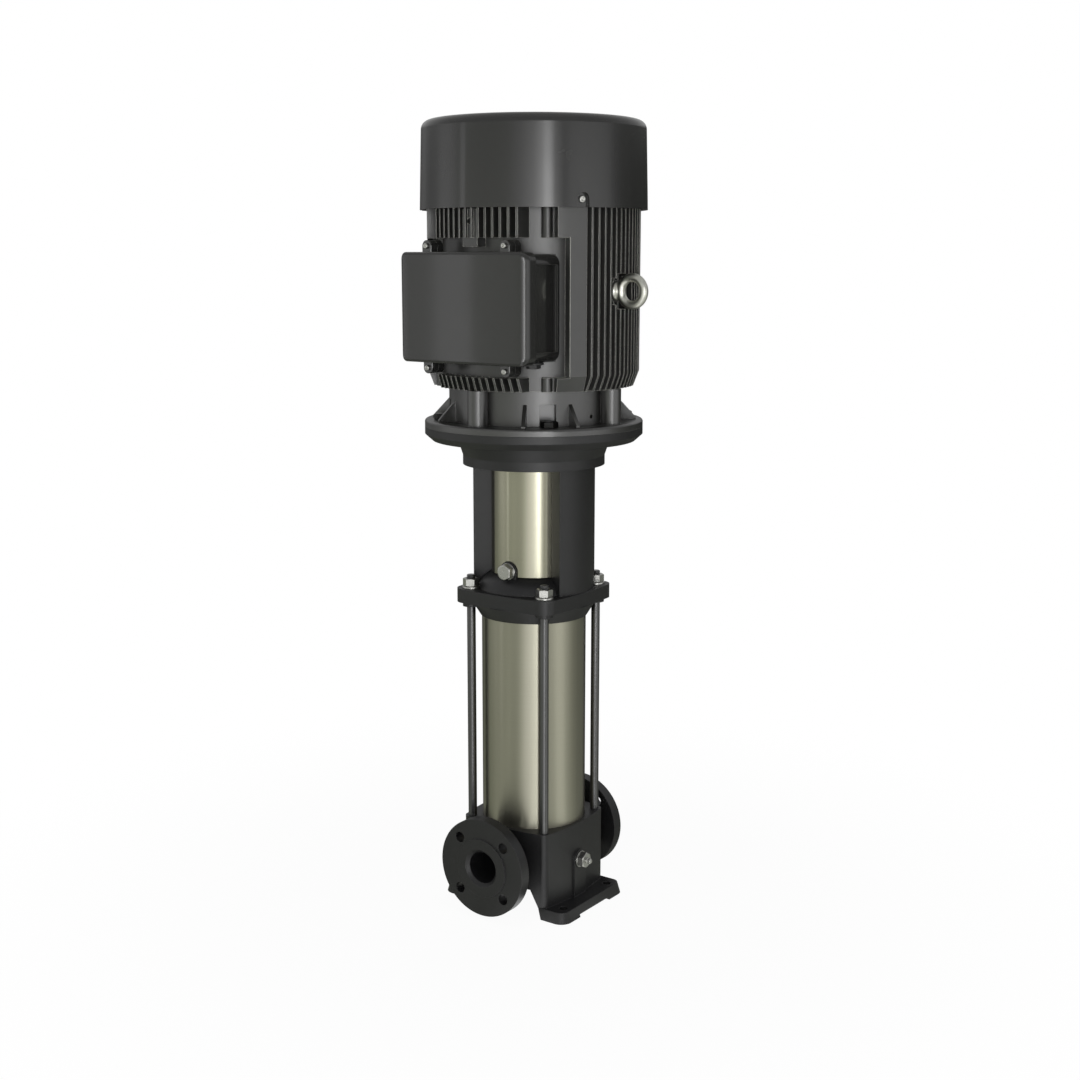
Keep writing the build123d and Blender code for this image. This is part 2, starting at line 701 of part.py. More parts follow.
# ---- pump head --------------------------------------------------------------------------------------
head_skirt_z = head_bottom_z - spigot_h
head_roof_z = dome_top_z - dome_wall_t
seal_boss_z = dome_top_z - seal_boss_h
dome_mid_r = (dome_foot_r + dome_top_r) / 2 + dome_crown
dome_mid_z = (plate_top_z + dome_top_z) / 2 + dome_crown
head_lip_r = sleeve_r + head_lip_t
with BuildPart() as pump_head:
    with BuildSketch(flat):
        with BuildLine():
            ThreePointArc((dome_top_r, dome_top_z), (dome_mid_r, dome_mid_z), (dome_foot_r, plate_top_z))
            Polyline((dome_foot_r, plate_top_z), (dome_foot_r, stool_seat_z), (head_ring_r, stool_seat_z),
                     (head_lip_r, head_bottom_z), (sleeve_r + slip_gap, head_bottom_z),
                     (sleeve_r + slip_gap, sleeve_top_z), (spigot_r, sleeve_top_z),
                     (spigot_r, head_skirt_z), (annulus_r, head_skirt_z), (annulus_r, stool_seat_z),
                     (dome_top_r, head_roof_z), (seal_boss_r, head_roof_z), (seal_boss_r, seal_boss_z),
                     (seal_throat_r, seal_boss_z), (seal_throat_r, seal_boss_z + seal_seat_t),
                     (seal_bore_r, seal_boss_z + seal_seat_t), (seal_bore_r, dome_top_z),
                     (dome_top_r, dome_top_z))
        make_face()
    revolve(axis=Axis.Z)
    with BuildSketch(Plane.XY.offset(upper_ring_z)):
        Circle(spigot_r)
        Circle(groove_floor_r, mode=Mode.SUBTRACT)
    extrude(amount=o_ring_h, mode=Mode.SUBTRACT)
    with BuildSketch(Plane.XY.offset(stool_seat_z)):
        with GridLocations(stay_spacing, stay_spacing, 2, 2):
            Circle(stay_lug_r)
        Circle(dome_foot_r, mode=Mode.SUBTRACT)
    extrude(amount=-stay_lug_h)
    with BuildSketch(Plane.XZ.offset(priming_boss_y)):
        with Locations((0, priming_z)):
            Circle(priming_boss_r)
        with Locations((0, (priming_z + plate_top_z) / 2)):
            Rectangle(2 * priming_boss_r, priming_z - plate_top_z)
    extrude(amount=-(priming_boss_y - seal_flange_r - priming_shank_r / 2))
    with BuildSketch(Plane.XZ.offset(priming_boss_y)):
        with Locations((0, priming_z)):
            Circle(plug_collar_r + free_gap)
    extrude(amount=dome_foot_r, mode=Mode.SUBTRACT)
    with BuildSketch(Plane.XZ.offset(priming_boss_y)):
        with Locations((0, priming_z)):
            Circle(priming_shank_r + running_gap)
    extrude(amount=-(priming_shank_l + free_gap), mode=Mode.SUBTRACT)
    with BuildSketch(Plane.XY.offset(head_roof_z)):
        with Locations((0, -(priming_boss_y - priming_shank_l))):
            Circle(priming_shank_r / 2)
    extrude(amount=priming_z - head_roof_z, mode=Mode.SUBTRACT)
    for seat_z, hole_r in ((head_bottom_z, stay_hole_r), (plate_top_z, washer_r + free_gap)):
        with BuildSketch(Plane.XY.offset(seat_z)):
            with GridLocations(stay_spacing, stay_spacing, 2, 2):
                Circle(hole_r)
        extrude(amount=dome_top_z - seat_z, mode=Mode.SUBTRACT)
export(pump_head.part, "pump_head")

with BuildPart() as priming_plug:
    with BuildSketch(Plane.XZ.offset(priming_boss_y)):
        with Locations((0, priming_z)):
            Circle(plug_collar_r)
    extrude(amount=plug_collar_t)
    with BuildSketch(Plane.XZ.offset(priming_boss_y + plug_collar_t)):
        with Locations((0, priming_z)):
            RegularPolygon(plug_af / 2, 6, major_radius=False)
    extrude(amount=plug_head_h)
    with BuildSketch(Plane.XZ.offset(priming_boss_y)):
        with Locations((0, priming_z)):
            Circle(priming_shank_r)
    extrude(amount=-priming_shank_l)
export(priming_plug.part, "priming_plug")

with BuildPart() as seal_housing:
    with BuildSketch(Plane.XY.offset(dome_top_z)):
        Circle(seal_flange_r)
        Circle(spacer_r + 2 * free_gap, mode=Mode.SUBTRACT)
    extrude(amount=seal_flange_t)
    with BuildSketch(Plane.XY.offset(seal_boss_z + seal_seat_t)):
        Circle(seal_bore_r - running_gap)
        Circle(seal_throat_r, mode=Mode.SUBTRACT)
    extrude(amount=dome_top_z - seal_boss_z - seal_seat_t)
export(seal_housing.part, "seal_housing")

seal_face_r = seal_throat_r - 2 * free_gap
with BuildPart() as seal_rotor:
    with BuildSketch(Plane.XY.offset(seal_boss_z + seal_seat_t)):
        Circle(seal_face_r)
        Circle(shaft_r, mode=Mode.SUBTRACT)
    extrude(amount=dome_top_z - seal_boss_z - seal_seat_t - running_gap)
    with BuildSketch(Plane.XY.offset(dome_top_z)):
        Circle(spacer_r)
        Circle(shaft_r, mode=Mode.SUBTRACT)
    extrude(amount=seal_flange_t + spacer_r)
    with BuildSketch(Plane.XY.offset(dome_top_z - seal_flange_t)):
        Circle(spacer_r)
        Circle(shaft_r, mode=Mode.SUBTRACT)
    extrude(amount=seal_flange_t)
export(seal_rotor.part, "seal_rotor")

# ---- motor stool and coupling guards ----------------------------------------------------------------
with BuildPart() as motor_stool:
    with BuildSketch(Plane.XY.offset(stool_seat_z)):
        add(bulged_square(stay_half, head_corner_r, head_bulge))
    extrude(amount=stool_plate_t)
    with BuildSketch(flat):
        with BuildLine():
            Polyline((0, plate_top_z), (stool_r, plate_top_z), (stool_r, window_top_z),
                     (stool_collar_r, window_top_z), (stool_collar_r, collar_top_z),
                     (stool_neck_r, flare_top_z), (stool_rim_low_r, flare_top_z),
                     (motor_flange_r, motor_seat_z - stool_rim_t), (motor_flange_r, motor_seat_z),
                     (0, motor_seat_z), close=True)
        make_face()
    revolve(axis=Axis.Z)
    with BuildSketch(Plane.XY.offset(stool_seat_z)):
        Circle(pillar_inner_r)
    extrude(amount=motor_seat_z - stool_seat_z, mode=Mode.SUBTRACT)
    with BuildSketch(Plane.XY.offset(motor_seat_z)):
        Circle(register_r + slip_gap)
    extrude(amount=-register_h, mode=Mode.SUBTRACT)
    with BuildSketch(flat):
        with BuildLine():
            ThreePointArc((dome_top_r + free_gap, dome_top_z + free_gap),
                          (dome_mid_r + free_gap, dome_mid_z + free_gap),
                          (dome_foot_r + free_gap, plate_top_z))
            Polyline((dome_foot_r + free_gap, plate_top_z), (dome_foot_r + free_gap, stool_seat_z),
                     (0, stool_seat_z), (0, dome_top_z + free_gap),
                     (dome_top_r + free_gap, dome_top_z + free_gap))
        make_face()
    revolve(axis=Axis.Z, mode=Mode.SUBTRACT)
    with BuildSketch(Plane.XY.offset(plate_top_z)):
        for side in (-1, 1):
            reach = 2 * stool_r
            with BuildLine():
                Polyline((0, 0), (reach * sin(radians(window_half_angle)), side * reach / 2),
                         (0, side * reach), (-reach * sin(radians(window_half_angle)), side * reach / 2),
                         close=True)
            make_face()
    extrude(amount=window_h, mode=Mode.SUBTRACT)
    with BuildSketch(Plane.XY.offset(stool_seat_z)):
        with GridLocations(stay_spacing, stay_spacing, 2, 2):
            Circle(stay_hole_r)
    extrude(amount=stool_plate_t, mode=Mode.SUBTRACT)
    with BuildSketch(Plane.XY.offset(motor_seat_z)):
        with PolarLocations(motor_pcd / 2, motor_bolts, start_angle=180 / motor_bolts):
            Circle(motor_bolt_r + running_gap)
    extrude(amount=-stool_flange_t, mode=Mode.SUBTRACT)
export(motor_stool.part, "motor_stool")

guard_r = pillar_inner_r - free_gap
guard_bottom_z = dome_top_z + free_gap
for side, name in ((-1, "coupling_guard_front"), (1, "coupling_guard_back")):
    with BuildPart() as coupling_guard:
        with BuildSketch(Plane.XY.offset(guard_bottom_z)):
            Circle(guard_r)
            Circle(guard_r - guard_t, mode=Mode.SUBTRACT)
            cheek_x = guard_r * sin(radians(guard_half_angle))
            with Locations((0, side * (guard_r * cos(radians(guard_half_angle)) + guard_r))):
                Rectangle(2 * cheek_x + guard_r, 2 * guard_r, mode=Mode.INTERSECT)
        extrude(amount=window_top_z - guard_bottom_z - free_gap)
        if side < 0:
            notch_r = priming_boss_r + 2 * free_gap
            with BuildSketch(flat):
                with Locations((0, priming_z)):
                    Circle(notch_r)
                with Locations((0, priming_z - notch_r)):
                    Rectangle(2 * notch_r, 2 * notch_r)
            extrude(amount=guard_r + guard_t, mode=Mode.SUBTRACT)
    export(coupling_guard.part, name)

with BuildPart() as motor_flange_bolts:
    with BuildSketch(Plane.XY.offset(motor_seat_z + shield_flange_t)):
        with PolarLocations(motor_pcd / 2, motor_bolts, start_angle=180 / motor_bolts):
            RegularPolygon(motor_bolt_af / 2, 6, major_radius=False)
    extrude(amount=motor_bolt_head_h)
    with BuildSketch(Plane.XY.offset(motor_seat_z + shield_flange_t)):
        with PolarLocations(motor_pcd / 2, motor_bolts, start_angle=180 / motor_bolts):
            Circle(motor_bolt_r)
    extrude(amount=-motor_bolt_grip)
export(motor_flange_bolts.part, "motor_flange_bolts")

# ---- coupling ---------------------------------------------------------------------------------------
for side, name in ((-1, "coupling_half_front"), (1, "coupling_half_back")):
    with BuildPart() as coupling_half:
        with BuildSketch(Plane.XY.offset(coupling_z)):
            Circle(coupling_r)
            with Locations((0, side * (coupling_split / 2 + coupling_r))):
                Rectangle(3 * coupling_r, 2 * coupling_r, mode=Mode.INTERSECT)
        extrude(amount=coupling_h)
        with BuildSketch(Plane.XY.offset(coupling_z)):
            Circle(shaft_r)
        extrude(amount=coupling_h - shaft_overlap, mode=Mode.SUBTRACT)
        with BuildSketch(Plane.XY.offset(motor_shaft_end_z)):
            Circle(motor_shaft_r)
        extrude(amount=shaft_overlap, mode=Mode.SUBTRACT)
        with BuildSketch(flat):
            with Locations((0, coupling_z + coupling_h / 2)):
                with GridLocations(2 * coupling_screw_x, coupling_screw_pitch, 2, 2):
                    Circle(coupling_screw_r)
        extrude(amount=coupling_r, both=True, mode=Mode.SUBTRACT)
        with BuildSketch(Plane.YZ):
            with Locations((0, pin_z)):
                Circle(coupling_pin_r)
        extrude(amount=coupling_pin_l / 2, both=True, mode=Mode.SUBTRACT)
        with BuildSketch(Plane.XZ.offset(-side * coupling_screw_seat)):
            with Locations((0, coupling_z + coupling_h / 2)):
                with GridLocations(2 * coupling_screw_x, coupling_screw_pitch, 2, 2):
                    Circle(coupling_screw_head_r + free_gap)
        extrude(amount=-side * coupling_r, mode=Mode.SUBTRACT)
    export(coupling_half.part, name)

with BuildPart() as coupling_screws:
    with BuildSketch(Plane.XZ.offset(-coupling_screw_seat)):
        with Locations((0, coupling_z + coupling_h / 2)):
            with GridLocations(2 * coupling_screw_x, coupling_screw_pitch, 2, 2):
                Circle(coupling_screw_r)
    extrude(amount=2 * coupling_screw_seat)
    with BuildSketch(Plane.XZ.offset(coupling_screw_seat)):
        with Locations((0, coupling_z + coupling_h / 2)):
            with GridLocations(2 * coupling_screw_x, coupling_screw_pitch, 2, 2):
                Circle(coupling_screw_head_r)
    extrude(amount=coupling_screw_head_h)
export(coupling_screws.part, "coupling_screws")

with BuildPart() as coupling_pin:
    with BuildSketch(Plane.YZ):
        with Locations((0, pin_z)):
            Circle(coupling_pin_r)
    extrude(amount=coupling_pin_l / 2, both=True)
export(coupling_pin.part, "coupling_pin")

# ---- motor ------------------------------------------------------------------------------------------
bearing_z = motor_seat_z + bearing_rise
tail_bearing_z = housing_top_z + end_shield_t - tail_bearing_w / 2
shield_top_z = housing_z
with BuildPart() as drive_end_shield:
    with BuildSketch(flat):
        with BuildLine():
            Polyline((bearing_bore_r + race_t + free_gap, motor_seat_z - register_h + free_gap),
                     (register_r, motor_seat_z - register_h + free_gap), (register_r, motor_seat_z),
                     (motor_flange_r, motor_seat_z), (motor_flange_r, motor_seat_z + shield_flange_t),
                     (shield_barrel_r, motor_seat_z + shield_flange_t), (shield_barrel_r, shield_top_z),
                     (housing_bore_r - slip_gap, shield_top_z),
                     (housing_bore_r - slip_gap, shield_top_z + register_h),
                     (housing_bore_r - shield_wall_t, shield_top_z + register_h),
                     (housing_bore_r - shield_wall_t, bearing_z + shield_wall_t),
                     (bearing_r + shield_wall_t, bearing_z + shield_wall_t),
                     (bearing_r + shield_wall_t, bearing_z + bearing_w), (bearing_r, bearing_z + bearing_w),
                     (bearing_r, bearing_z), (bearing_bore_r + race_t + free_gap, bearing_z), close=True)
        make_face()
    revolve(axis=Axis.Z)
    fillet(drive_end_shield.edges().filter_by(GeomType.CIRCLE).filter_by(
        lambda e: abs(e.radius - motor_flange_r) < 0.01).sort_by(Axis.Z)[-1], shield_flange_t / 3)
    with BuildSketch(Plane.XY.offset(motor_seat_z + shield_flange_t)):
        with PolarLocations(motor_pcd / 2, motor_bolts):
            Circle(shield_post_r)
        Circle(housing_bore_r, mode=Mode.SUBTRACT)
    extrude(amount=shield_top_z - motor_seat_z - shield_flange_t)
    rib_foot_r = motor_flange_r - shield_flange_t
    rib_z = motor_seat_z + shield_flange_t
    rib_angles = [quarter * 90 + turn * shield_rib_pitch for quarter in range(4) for turn in (1, 2)]
    for angle in rib_angles:
        rib_plane = Plane(origin=(0, 0, 0), x_dir=(cos(radians(angle)), sin(radians(angle)), 0),
                          z_dir=(sin(radians(angle)), -cos(radians(angle)), 0))
        with BuildSketch(rib_plane):
            with BuildLine():
                Polyline((shield_barrel_r - shield_wall_t / 2, rib_z), (rib_foot_r, rib_z),
                         (rib_foot_r, rib_z + shield_rib_t / 2), (shield_barrel_r, rib_z + shield_rib_h),
                         (shield_barrel_r - shield_wall_t / 2, rib_z + shield_rib_h), close=True)
            make_face()
        extrude(amount=shield_rib_t / 2, both=True)
    with BuildSketch(Plane.XY.offset(rib_z)):
        with PolarLocations(motor_pcd / 2, motor_bolts, start_angle=180 / motor_bolts):
            Rectangle(2 * shield_pocket_w, shield_pocket_w)
    extrude(amount=shield_pocket_h, mode=Mode.SUBTRACT)
    with BuildSketch(Plane.XY.offset(motor_seat_z)):
        with PolarLocations(motor_pcd / 2, motor_bolts, start_angle=180 / motor_bolts):
            Circle(motor_hole_r)
    extrude(amount=shield_flange_t, mode=Mode.SUBTRACT)
    drain_x, drain_y = polar(1, shield_drain_angle - 90)
    with BuildSketch(Plane(origin=(0, 0, motor_seat_z + shield_drain_rise), z_dir=(drain_x, drain_y, 0))):
        Circle(shield_drain_r)
    extrude(amount=shield_barrel_r + shield_wall_t, mode=Mode.SUBTRACT)
export(drive_end_shield.part, "drive_end_shield")

with BuildPart() as stator_housing:
    with BuildSketch(Plane.XY.offset(housing_z)):
        with GridLocations(fin_pitch, 0, fins_front, 1):
            Rectangle(fin_t, 2 * fin_tip_r)
        with GridLocations(0, fin_pitch, 1, fins_side):
            Rectangle(2 * fin_tip_r, fin_t)
        for quarter in (-1, 1):
            for side in (-1, 1):
                with BuildLine():
                    Polyline((0, 0), (quarter * 2 * fin_tip_r * sin(radians(pad_start)),
                                      side * 2 * fin_tip_r * cos(radians(pad_start))),
                             (quarter * 2 * fin_tip_r * sin(radians(pad_end)),
                              side * 2 * fin_tip_r * cos(radians(pad_end))), close=True)
                make_face()
        Circle(fin_tip_r, mode=Mode.INTERSECT)
        Circle(housing_barrel_r)
        for angle in (tie_post_angle, 180 - tie_post_angle, 180 + tie_post_angle, -tie_post_angle):
            with Locations(polar(housing_barrel_r + tie_post_r / 2, 90 - angle)):
                Circle(tie_post_r)
        Circle(housing_bore_r, mode=Mode.SUBTRACT)
    extrude(amount=housing_h)
    slope_z = housing_z + fin_foot_slope_h
    with BuildSketch(flat):
        with BuildLine():
            Polyline((fin_foot_slope_r, housing_z), (fin_tip_r, slope_z), (2 * fin_tip_r, slope_z),
                     (2 * fin_tip_r, housing_z), close=True)
        make_face()
    revolve(axis=Axis.Z, mode=Mode.SUBTRACT)
    box_clear_w = 2 * (box_half_w + box_corner_r)
    box_clear_z = box_bottom_z - 2 * lid_lug_r - fin_t
    with BuildSketch(Plane.XY.offset(box_clear_z)):
        with Locations((0, -(box_skirt_y - box_corner_r + fin_tip_r))):
            Rectangle(box_clear_w, 2 * fin_tip_r)
        Circle(housing_barrel_r, mode=Mode.SUBTRACT)
    extrude(amount=box_h + 4 * lid_lug_r + 2 * fin_t, mode=Mode.SUBTRACT)
    with BuildSketch(Plane.XZ.offset(box_seat_y)):
        with Locations((0, box_bottom_z + box_h / 2)):
            Rectangle(housing_barrel_r, box_h - 2 * box_corner_r)
    extrude(amount=-(box_seat_y - housing_bore_r - shield_wall_t))
    with BuildSketch(Plane.XZ.offset(pad_boss_y)):
        with Locations((0, housing_top_z - pad_boss_drop - pad_boss_h / 2)):
            Rectangle(2 * pad_boss_half, pad_boss_h)
    extrude(amount=-(pad_boss_y - housing_bore_r - shield_wall_t))
    with BuildSketch(Plane.XZ.offset(pad_boss_y)):
        with Locations((0, housing_top_z - pad_hole_drop)):
            Circle(pad_hole_r)
    extrude(amount=-pad_hole_depth, mode=Mode.SUBTRACT)
    with BuildSketch(Plane.YZ.offset(eye_seat_x)):
        with Locations((0, eye_z)):
            Circle(eye_ring_r + eye_wire_r + free_gap)
    extrude(amount=fin_tip_r, mode=Mode.SUBTRACT)
    with BuildSketch(Plane.YZ.offset(eye_seat_x)):
        with Locations((0, eye_z)):
            Circle(eye_boss_r)
    extrude(amount=-(eye_seat_x - housing_bore_r - shield_wall_t))
    with BuildSketch(Plane.YZ.offset(eye_seat_x)):
        with Locations((0, eye_z)):
            Circle(eye_thread_r + running_gap)
    extrude(amount=-(eye_thread_l + free_gap), mode=Mode.SUBTRACT)
export(stator_housing.part, "stator_housing")

core_z = housing_z + core_rise
with BuildPart() as stator_core:
    with BuildSketch(Plane.XY.offset(core_z)):
        Circle(housing_bore_r)
        Circle(core_inner_r, mode=Mode.SUBTRACT)
    extrude(amount=core_h)
export(stator_core.part, "stator_core")

with BuildPart() as stator_windings:
    for winding_z in (core_z - winding_h, core_z + core_h):
        with BuildSketch(Plane.XY.offset(winding_z)):
            Circle(housing_bore_r - shield_wall_t)
            Circle(core_inner_r + shield_wall_t, mode=Mode.SUBTRACT)
        extrude(amount=winding_h)
    fillet(stator_windings.faces().sort_by(Axis.Z)[0].edges(), winding_h / 4)
    fillet(stator_windings.faces().sort_by(Axis.Z)[-1].edges(), winding_h / 4)
export(stator_windings.part, "stator_windings")

with BuildPart() as rotor_core:
    with BuildSketch(Plane.XY.offset(core_z)):
        Circle(core_inner_r - air_gap)
        Circle(rotor_hub_r, mode=Mode.SUBTRACT)
    extrude(amount=core_h)
export(rotor_core.part, "rotor_core")

fan_z = housing_top_z + fan_rise
shaft_top_z = fan_z + fan_disc_t + fan_hub_h
with BuildPart() as motor_shaft:
    with BuildSketch(flat):
        with BuildLine():
            Polyline((0, motor_shaft_end_z), (motor_shaft_r, motor_shaft_end_z),
                     (motor_shaft_r, bearing_z), (bearing_bore_r, bearing_z),
                     (bearing_bore_r, bearing_z + bearing_w), (rotor_hub_r, bearing_z + bearing_w),
                     (rotor_hub_r, tail_bearing_z), (tail_bearing_bore_r, tail_bearing_z),
                     (tail_bearing_bore_r, tail_bearing_z + tail_bearing_w),
                     (tail_shaft_r, tail_bearing_z + tail_bearing_w), (tail_shaft_r, shaft_top_z),
                     (0, shaft_top_z), close=True)
        make_face()
    revolve(axis=Axis.Z)
    chamfer(motor_shaft.faces().sort_by(Axis.Z)[0].edges(), edge_chamfer)
export(motor_shaft.part, "motor_shaft")

races = ((bearing_z, bearing_w, bearing_r, bearing_bore_r),
         (tail_bearing_z, tail_bearing_w, tail_bearing_r, tail_bearing_bore_r))
with BuildPart() as bearing_outer_races:
    for race_z, race_w, outer_r, bore_r in races:
        with BuildSketch(Plane.XY.offset(race_z)):
            Circle(outer_r)
            Circle(bore_r + race_t + free_gap, mode=Mode.SUBTRACT)
        extrude(amount=race_w)
export(bearing_outer_races.part, "bearing_outer_races")

with BuildPart() as bearing_inner_races:
    for race_z, race_w, outer_r, bore_r in races:
        with BuildSketch(Plane.XY.offset(race_z)):
            Circle(bore_r + race_t)
            Circle(bore_r, mode=Mode.SUBTRACT)
        extrude(amount=race_w)
export(bearing_inner_races.part, "bearing_inner_races")

end_hub_r = tail_bearing_r + end_shield_t
tail_top_z = tail_bearing_z + tail_bearing_w + free_gap
tail_lip_r = tail_bearing_bore_r + race_t + free_gap
screw_z = cover_rim_z + cover_screw_rise
screw_seat_r = cover_rim_r - cover_t - notch_depth
screw_angles = [90 + turn * (90 - cover_screw_angle) + flip for flip in (-90, 90) for turn in (-1, 1)]
with BuildPart() as fan_end_shield:
    with BuildSketch(flat):
        with BuildLine():
            Polyline((tail_bearing_r, tail_top_z), (tail_bearing_r, tail_bearing_z),
                     (tail_lip_r, tail_bearing_z), (tail_lip_r, tail_bearing_z - end_shield_t / 2),
                     (end_hub_r, tail_bearing_z - end_shield_t / 2), (end_hub_r, housing_top_z),
                     (housing_barrel_r, housing_top_z), (housing_barrel_r, housing_top_z + end_shield_t),
                     (end_hub_r, housing_top_z + end_shield_t), (end_hub_r, housing_top_z + end_hub_h),
                     (tail_shaft_r + free_gap, housing_top_z + end_hub_h),
                     (tail_shaft_r + free_gap, tail_top_z), close=True)
        make_face()
    revolve(axis=Axis.Z)
    with BuildSketch(Plane.XY.offset(housing_top_z)):
        for angle in screw_angles:
            with Locations(Location((0, 0, 0), (0, 0, angle))):
                with Locations(((housing_barrel_r + screw_seat_r) / 2 - notch_half / 2, 0)):
                    Rectangle(screw_seat_r - housing_barrel_r + notch_half, 2 * notch_half)
    extrude(amount=end_shield_t * 2)
    for angle in screw_angles:
        radial = Plane(origin=(0, 0, screw_z), x_dir=(-sin(radians(angle)), cos(radians(angle)), 0),
                       z_dir=(cos(radians(angle)), sin(radians(angle)), 0))
        with BuildSketch(radial.offset(screw_seat_r)):
            Circle(cover_screw_shank_r + running_gap)
        extrude(amount=-end_shield_t, mode=Mode.SUBTRACT)
export(fan_end_shield.part, "fan_end_shield")

with BuildPart() as cooling_fan:
    with BuildSketch(Plane.XY.offset(fan_z)):
        Circle(fan_r)
        Circle(tail_shaft_r, mode=Mode.SUBTRACT)
    extrude(amount=fan_disc_t)
    with BuildSketch(Plane.XY.offset(fan_z)):
        Circle(fan_hub_r)
        Circle(tail_shaft_r, mode=Mode.SUBTRACT)
    extrude(amount=fan_hub_h)
    with BuildSketch(Plane.XY.offset(fan_z)):
        with PolarLocations(0, fan_blades):
            with Locations(((fan_hub_r + fan_r) / 2 - fan_blade_t / 2, 0)):
                Rectangle(fan_r - fan_hub_r + fan_blade_t, fan_blade_t)
    extrude(amount=fan_blade_h)
export(cooling_fan.part, "cooling_fan")

with BuildPart() as fan_cover:
    with BuildSketch(flat):
        with BuildLine():
            Polyline((0, cover_rim_z), (cover_rim_r, cover_rim_z), (cover_top_r, cover_top_z),
                     (0, cover_top_z), close=True)
        make_face()
        fillet(vertices().sort_by(Axis.Y)[-2:].sort_by(Axis.X)[-1:], cover_edge_r)
    revolve(axis=Axis.Z)
    with BuildSketch(flat):
        with BuildLine():
            Polyline((0, cover_rim_z), (cover_rim_r - cover_t, cover_rim_z),
                     (cover_top_r - cover_t, cover_top_z - cover_t), (0, cover_top_z - cover_t), close=True)
        make_face()
        fillet(vertices().sort_by(Axis.Y)[-2:].sort_by(Axis.X)[-1:], cover_edge_r - cover_t)
    revolve(axis=Axis.Z, mode=Mode.SUBTRACT)
    with BuildSketch(Plane.XY.offset(cover_top_z)):
        for ring in reversed(range(grille_rings)):
            slot_r = grille_inner_r + ring * grille_pitch
            Circle(slot_r + grille_slot)
            Circle(slot_r, mode=Mode.SUBTRACT)
        with PolarLocations(0, grille_spokes):
            with Locations((cover_top_r / 2, 0)):
                Rectangle(cover_top_r, grille_spoke_w, mode=Mode.SUBTRACT)
    extrude(amount=-2 * cover_t, mode=Mode.SUBTRACT)
    for angle in screw_angles:
        radial = Plane(origin=(0, 0, 0), x_dir=(-sin(radians(angle)), cos(radians(angle)), 0),
                       z_dir=(cos(radians(angle)), sin(radians(angle)), 0))
        for wall, inner_r, depth, mode in ((cover_t, screw_seat_r, notch_depth + cover_t / 2, Mode.ADD),
                                           (0, screw_seat_r + cover_t, 2 * notch_depth, Mode.SUBTRACT)):
            with BuildSketch(radial.offset(inner_r)):
                with Locations((0, screw_z)):
                    Circle(notch_half + wall)
                with Locations((0, (screw_z + cover_rim_z) / 2)):
                    Rectangle(2 * (notch_half + wall), screw_z - cover_rim_z)
            extrude(amount=depth, mode=mode)
        with BuildSketch(radial.offset(screw_seat_r)):
            with Locations((0, screw_z)):
                Circle(cover_screw_shank_r + running_gap)
        extrude(amount=cover_t, mode=Mode.SUBTRACT)
export(fan_cover.part, "fan_cover")

with BuildPart() as fan_cover_screws:
    for angle in screw_angles:
        radial = Plane(origin=(0, 0, screw_z), x_dir=(-sin(radians(angle)), cos(radians(angle)), 0),
                       z_dir=(cos(radians(angle)), sin(radians(angle)), 0))
        with BuildSketch(radial.offset(screw_seat_r + cover_t)):
            Circle(cover_screw_r)
        extrude(amount=cover_screw_h)
        with BuildSketch(radial.offset(screw_seat_r + cover_t)):
            Circle(cover_screw_shank_r)
        extrude(amount=-(end_shield_t - cover_t))
export(fan_cover_screws.part, "fan_cover_screws")

# ---- terminal box -----------------------------------------------------------------------------------
box_mid_z = box_bottom_z + box_h / 2
lid_back_y = box_front_y - lid_depth
lug_z_offset = box_h / 2 + lid_lug_r
lug_places = [(x, box_mid_z + side * lug_z_offset) for x in (-lid_screw_x, lid_screw_x) for side in (-1, 1)]
with BuildPart() as terminal_box_lid:
    with BuildSketch(Plane.XY.offset(box_bottom_z)):
        with BuildLine():
            Polyline((box_half_w, -(box_front_y - box_crown)), (box_half_w, -lid_back_y),
                     (-box_half_w, -lid_back_y), (-box_half_w, -(box_front_y - box_crown)))
            ThreePointArc((-box_half_w, -(box_front_y - box_crown)), (0, -box_front_y),
                          (box_half_w, -(box_front_y - box_crown)))
        make_face()
    extrude(amount=box_h)
    fillet(terminal_box_lid.edges().filter_by(Axis.Z).group_by(Axis.Y)[0], box_corner_r)
    fillet(terminal_box_lid.faces().sort_by(Axis.Y)[0].outer_wire().edges(), lid_wall_t)
    for x, z in lug_places:
        with BuildSketch(Plane.XZ.offset(box_front_y - box_corner_r)):
            with Locations((x, z)):
                Circle(lid_lug_r)
            with Locations((x, (z + box_mid_z) / 2)):
                Rectangle(2 * lid_lug_r, abs(z - box_mid_z))
        extrude(amount=-(lid_depth - box_corner_r))
    inner_half = box_half_w - lid_wall_t
    with BuildSketch(Plane.XZ.offset(lid_back_y)):
        with Locations((0, box_mid_z)):
            RectangleRounded(2 * inner_half, box_h - 2 * lid_wall_t, box_corner_r - lid_wall_t)
    extrude(amount=lid_depth - box_crown - lid_wall_t, mode=Mode.SUBTRACT)
    with BuildSketch(Plane.XZ.offset(box_front_y)):
        with Locations(*lug_places):
            Circle(stud_r + running_gap)
    extrude(amount=-lid_depth, mode=Mode.SUBTRACT)
export(terminal_box_lid.part, "terminal_box_lid")

body_front_y = lid_back_y - gasket_t
body_half_w = box_half_w - box_inset
body_h = box_h - 2 * box_inset
with BuildPart() as terminal_box_gasket:
    with BuildSketch(Plane.XZ.offset(lid_back_y)):
        with Locations((0, box_mid_z)):
            RectangleRounded(2 * body_half_w, body_h, box_corner_r)
            RectangleRounded(2 * (body_half_w - box_wall_t), body_h - 2 * box_wall_t, box_corner_r - box_wall_t,
                             mode=Mode.SUBTRACT)
    extrude(amount=-gasket_t)
export(terminal_box_gasket.part, "terminal_box_gasket")

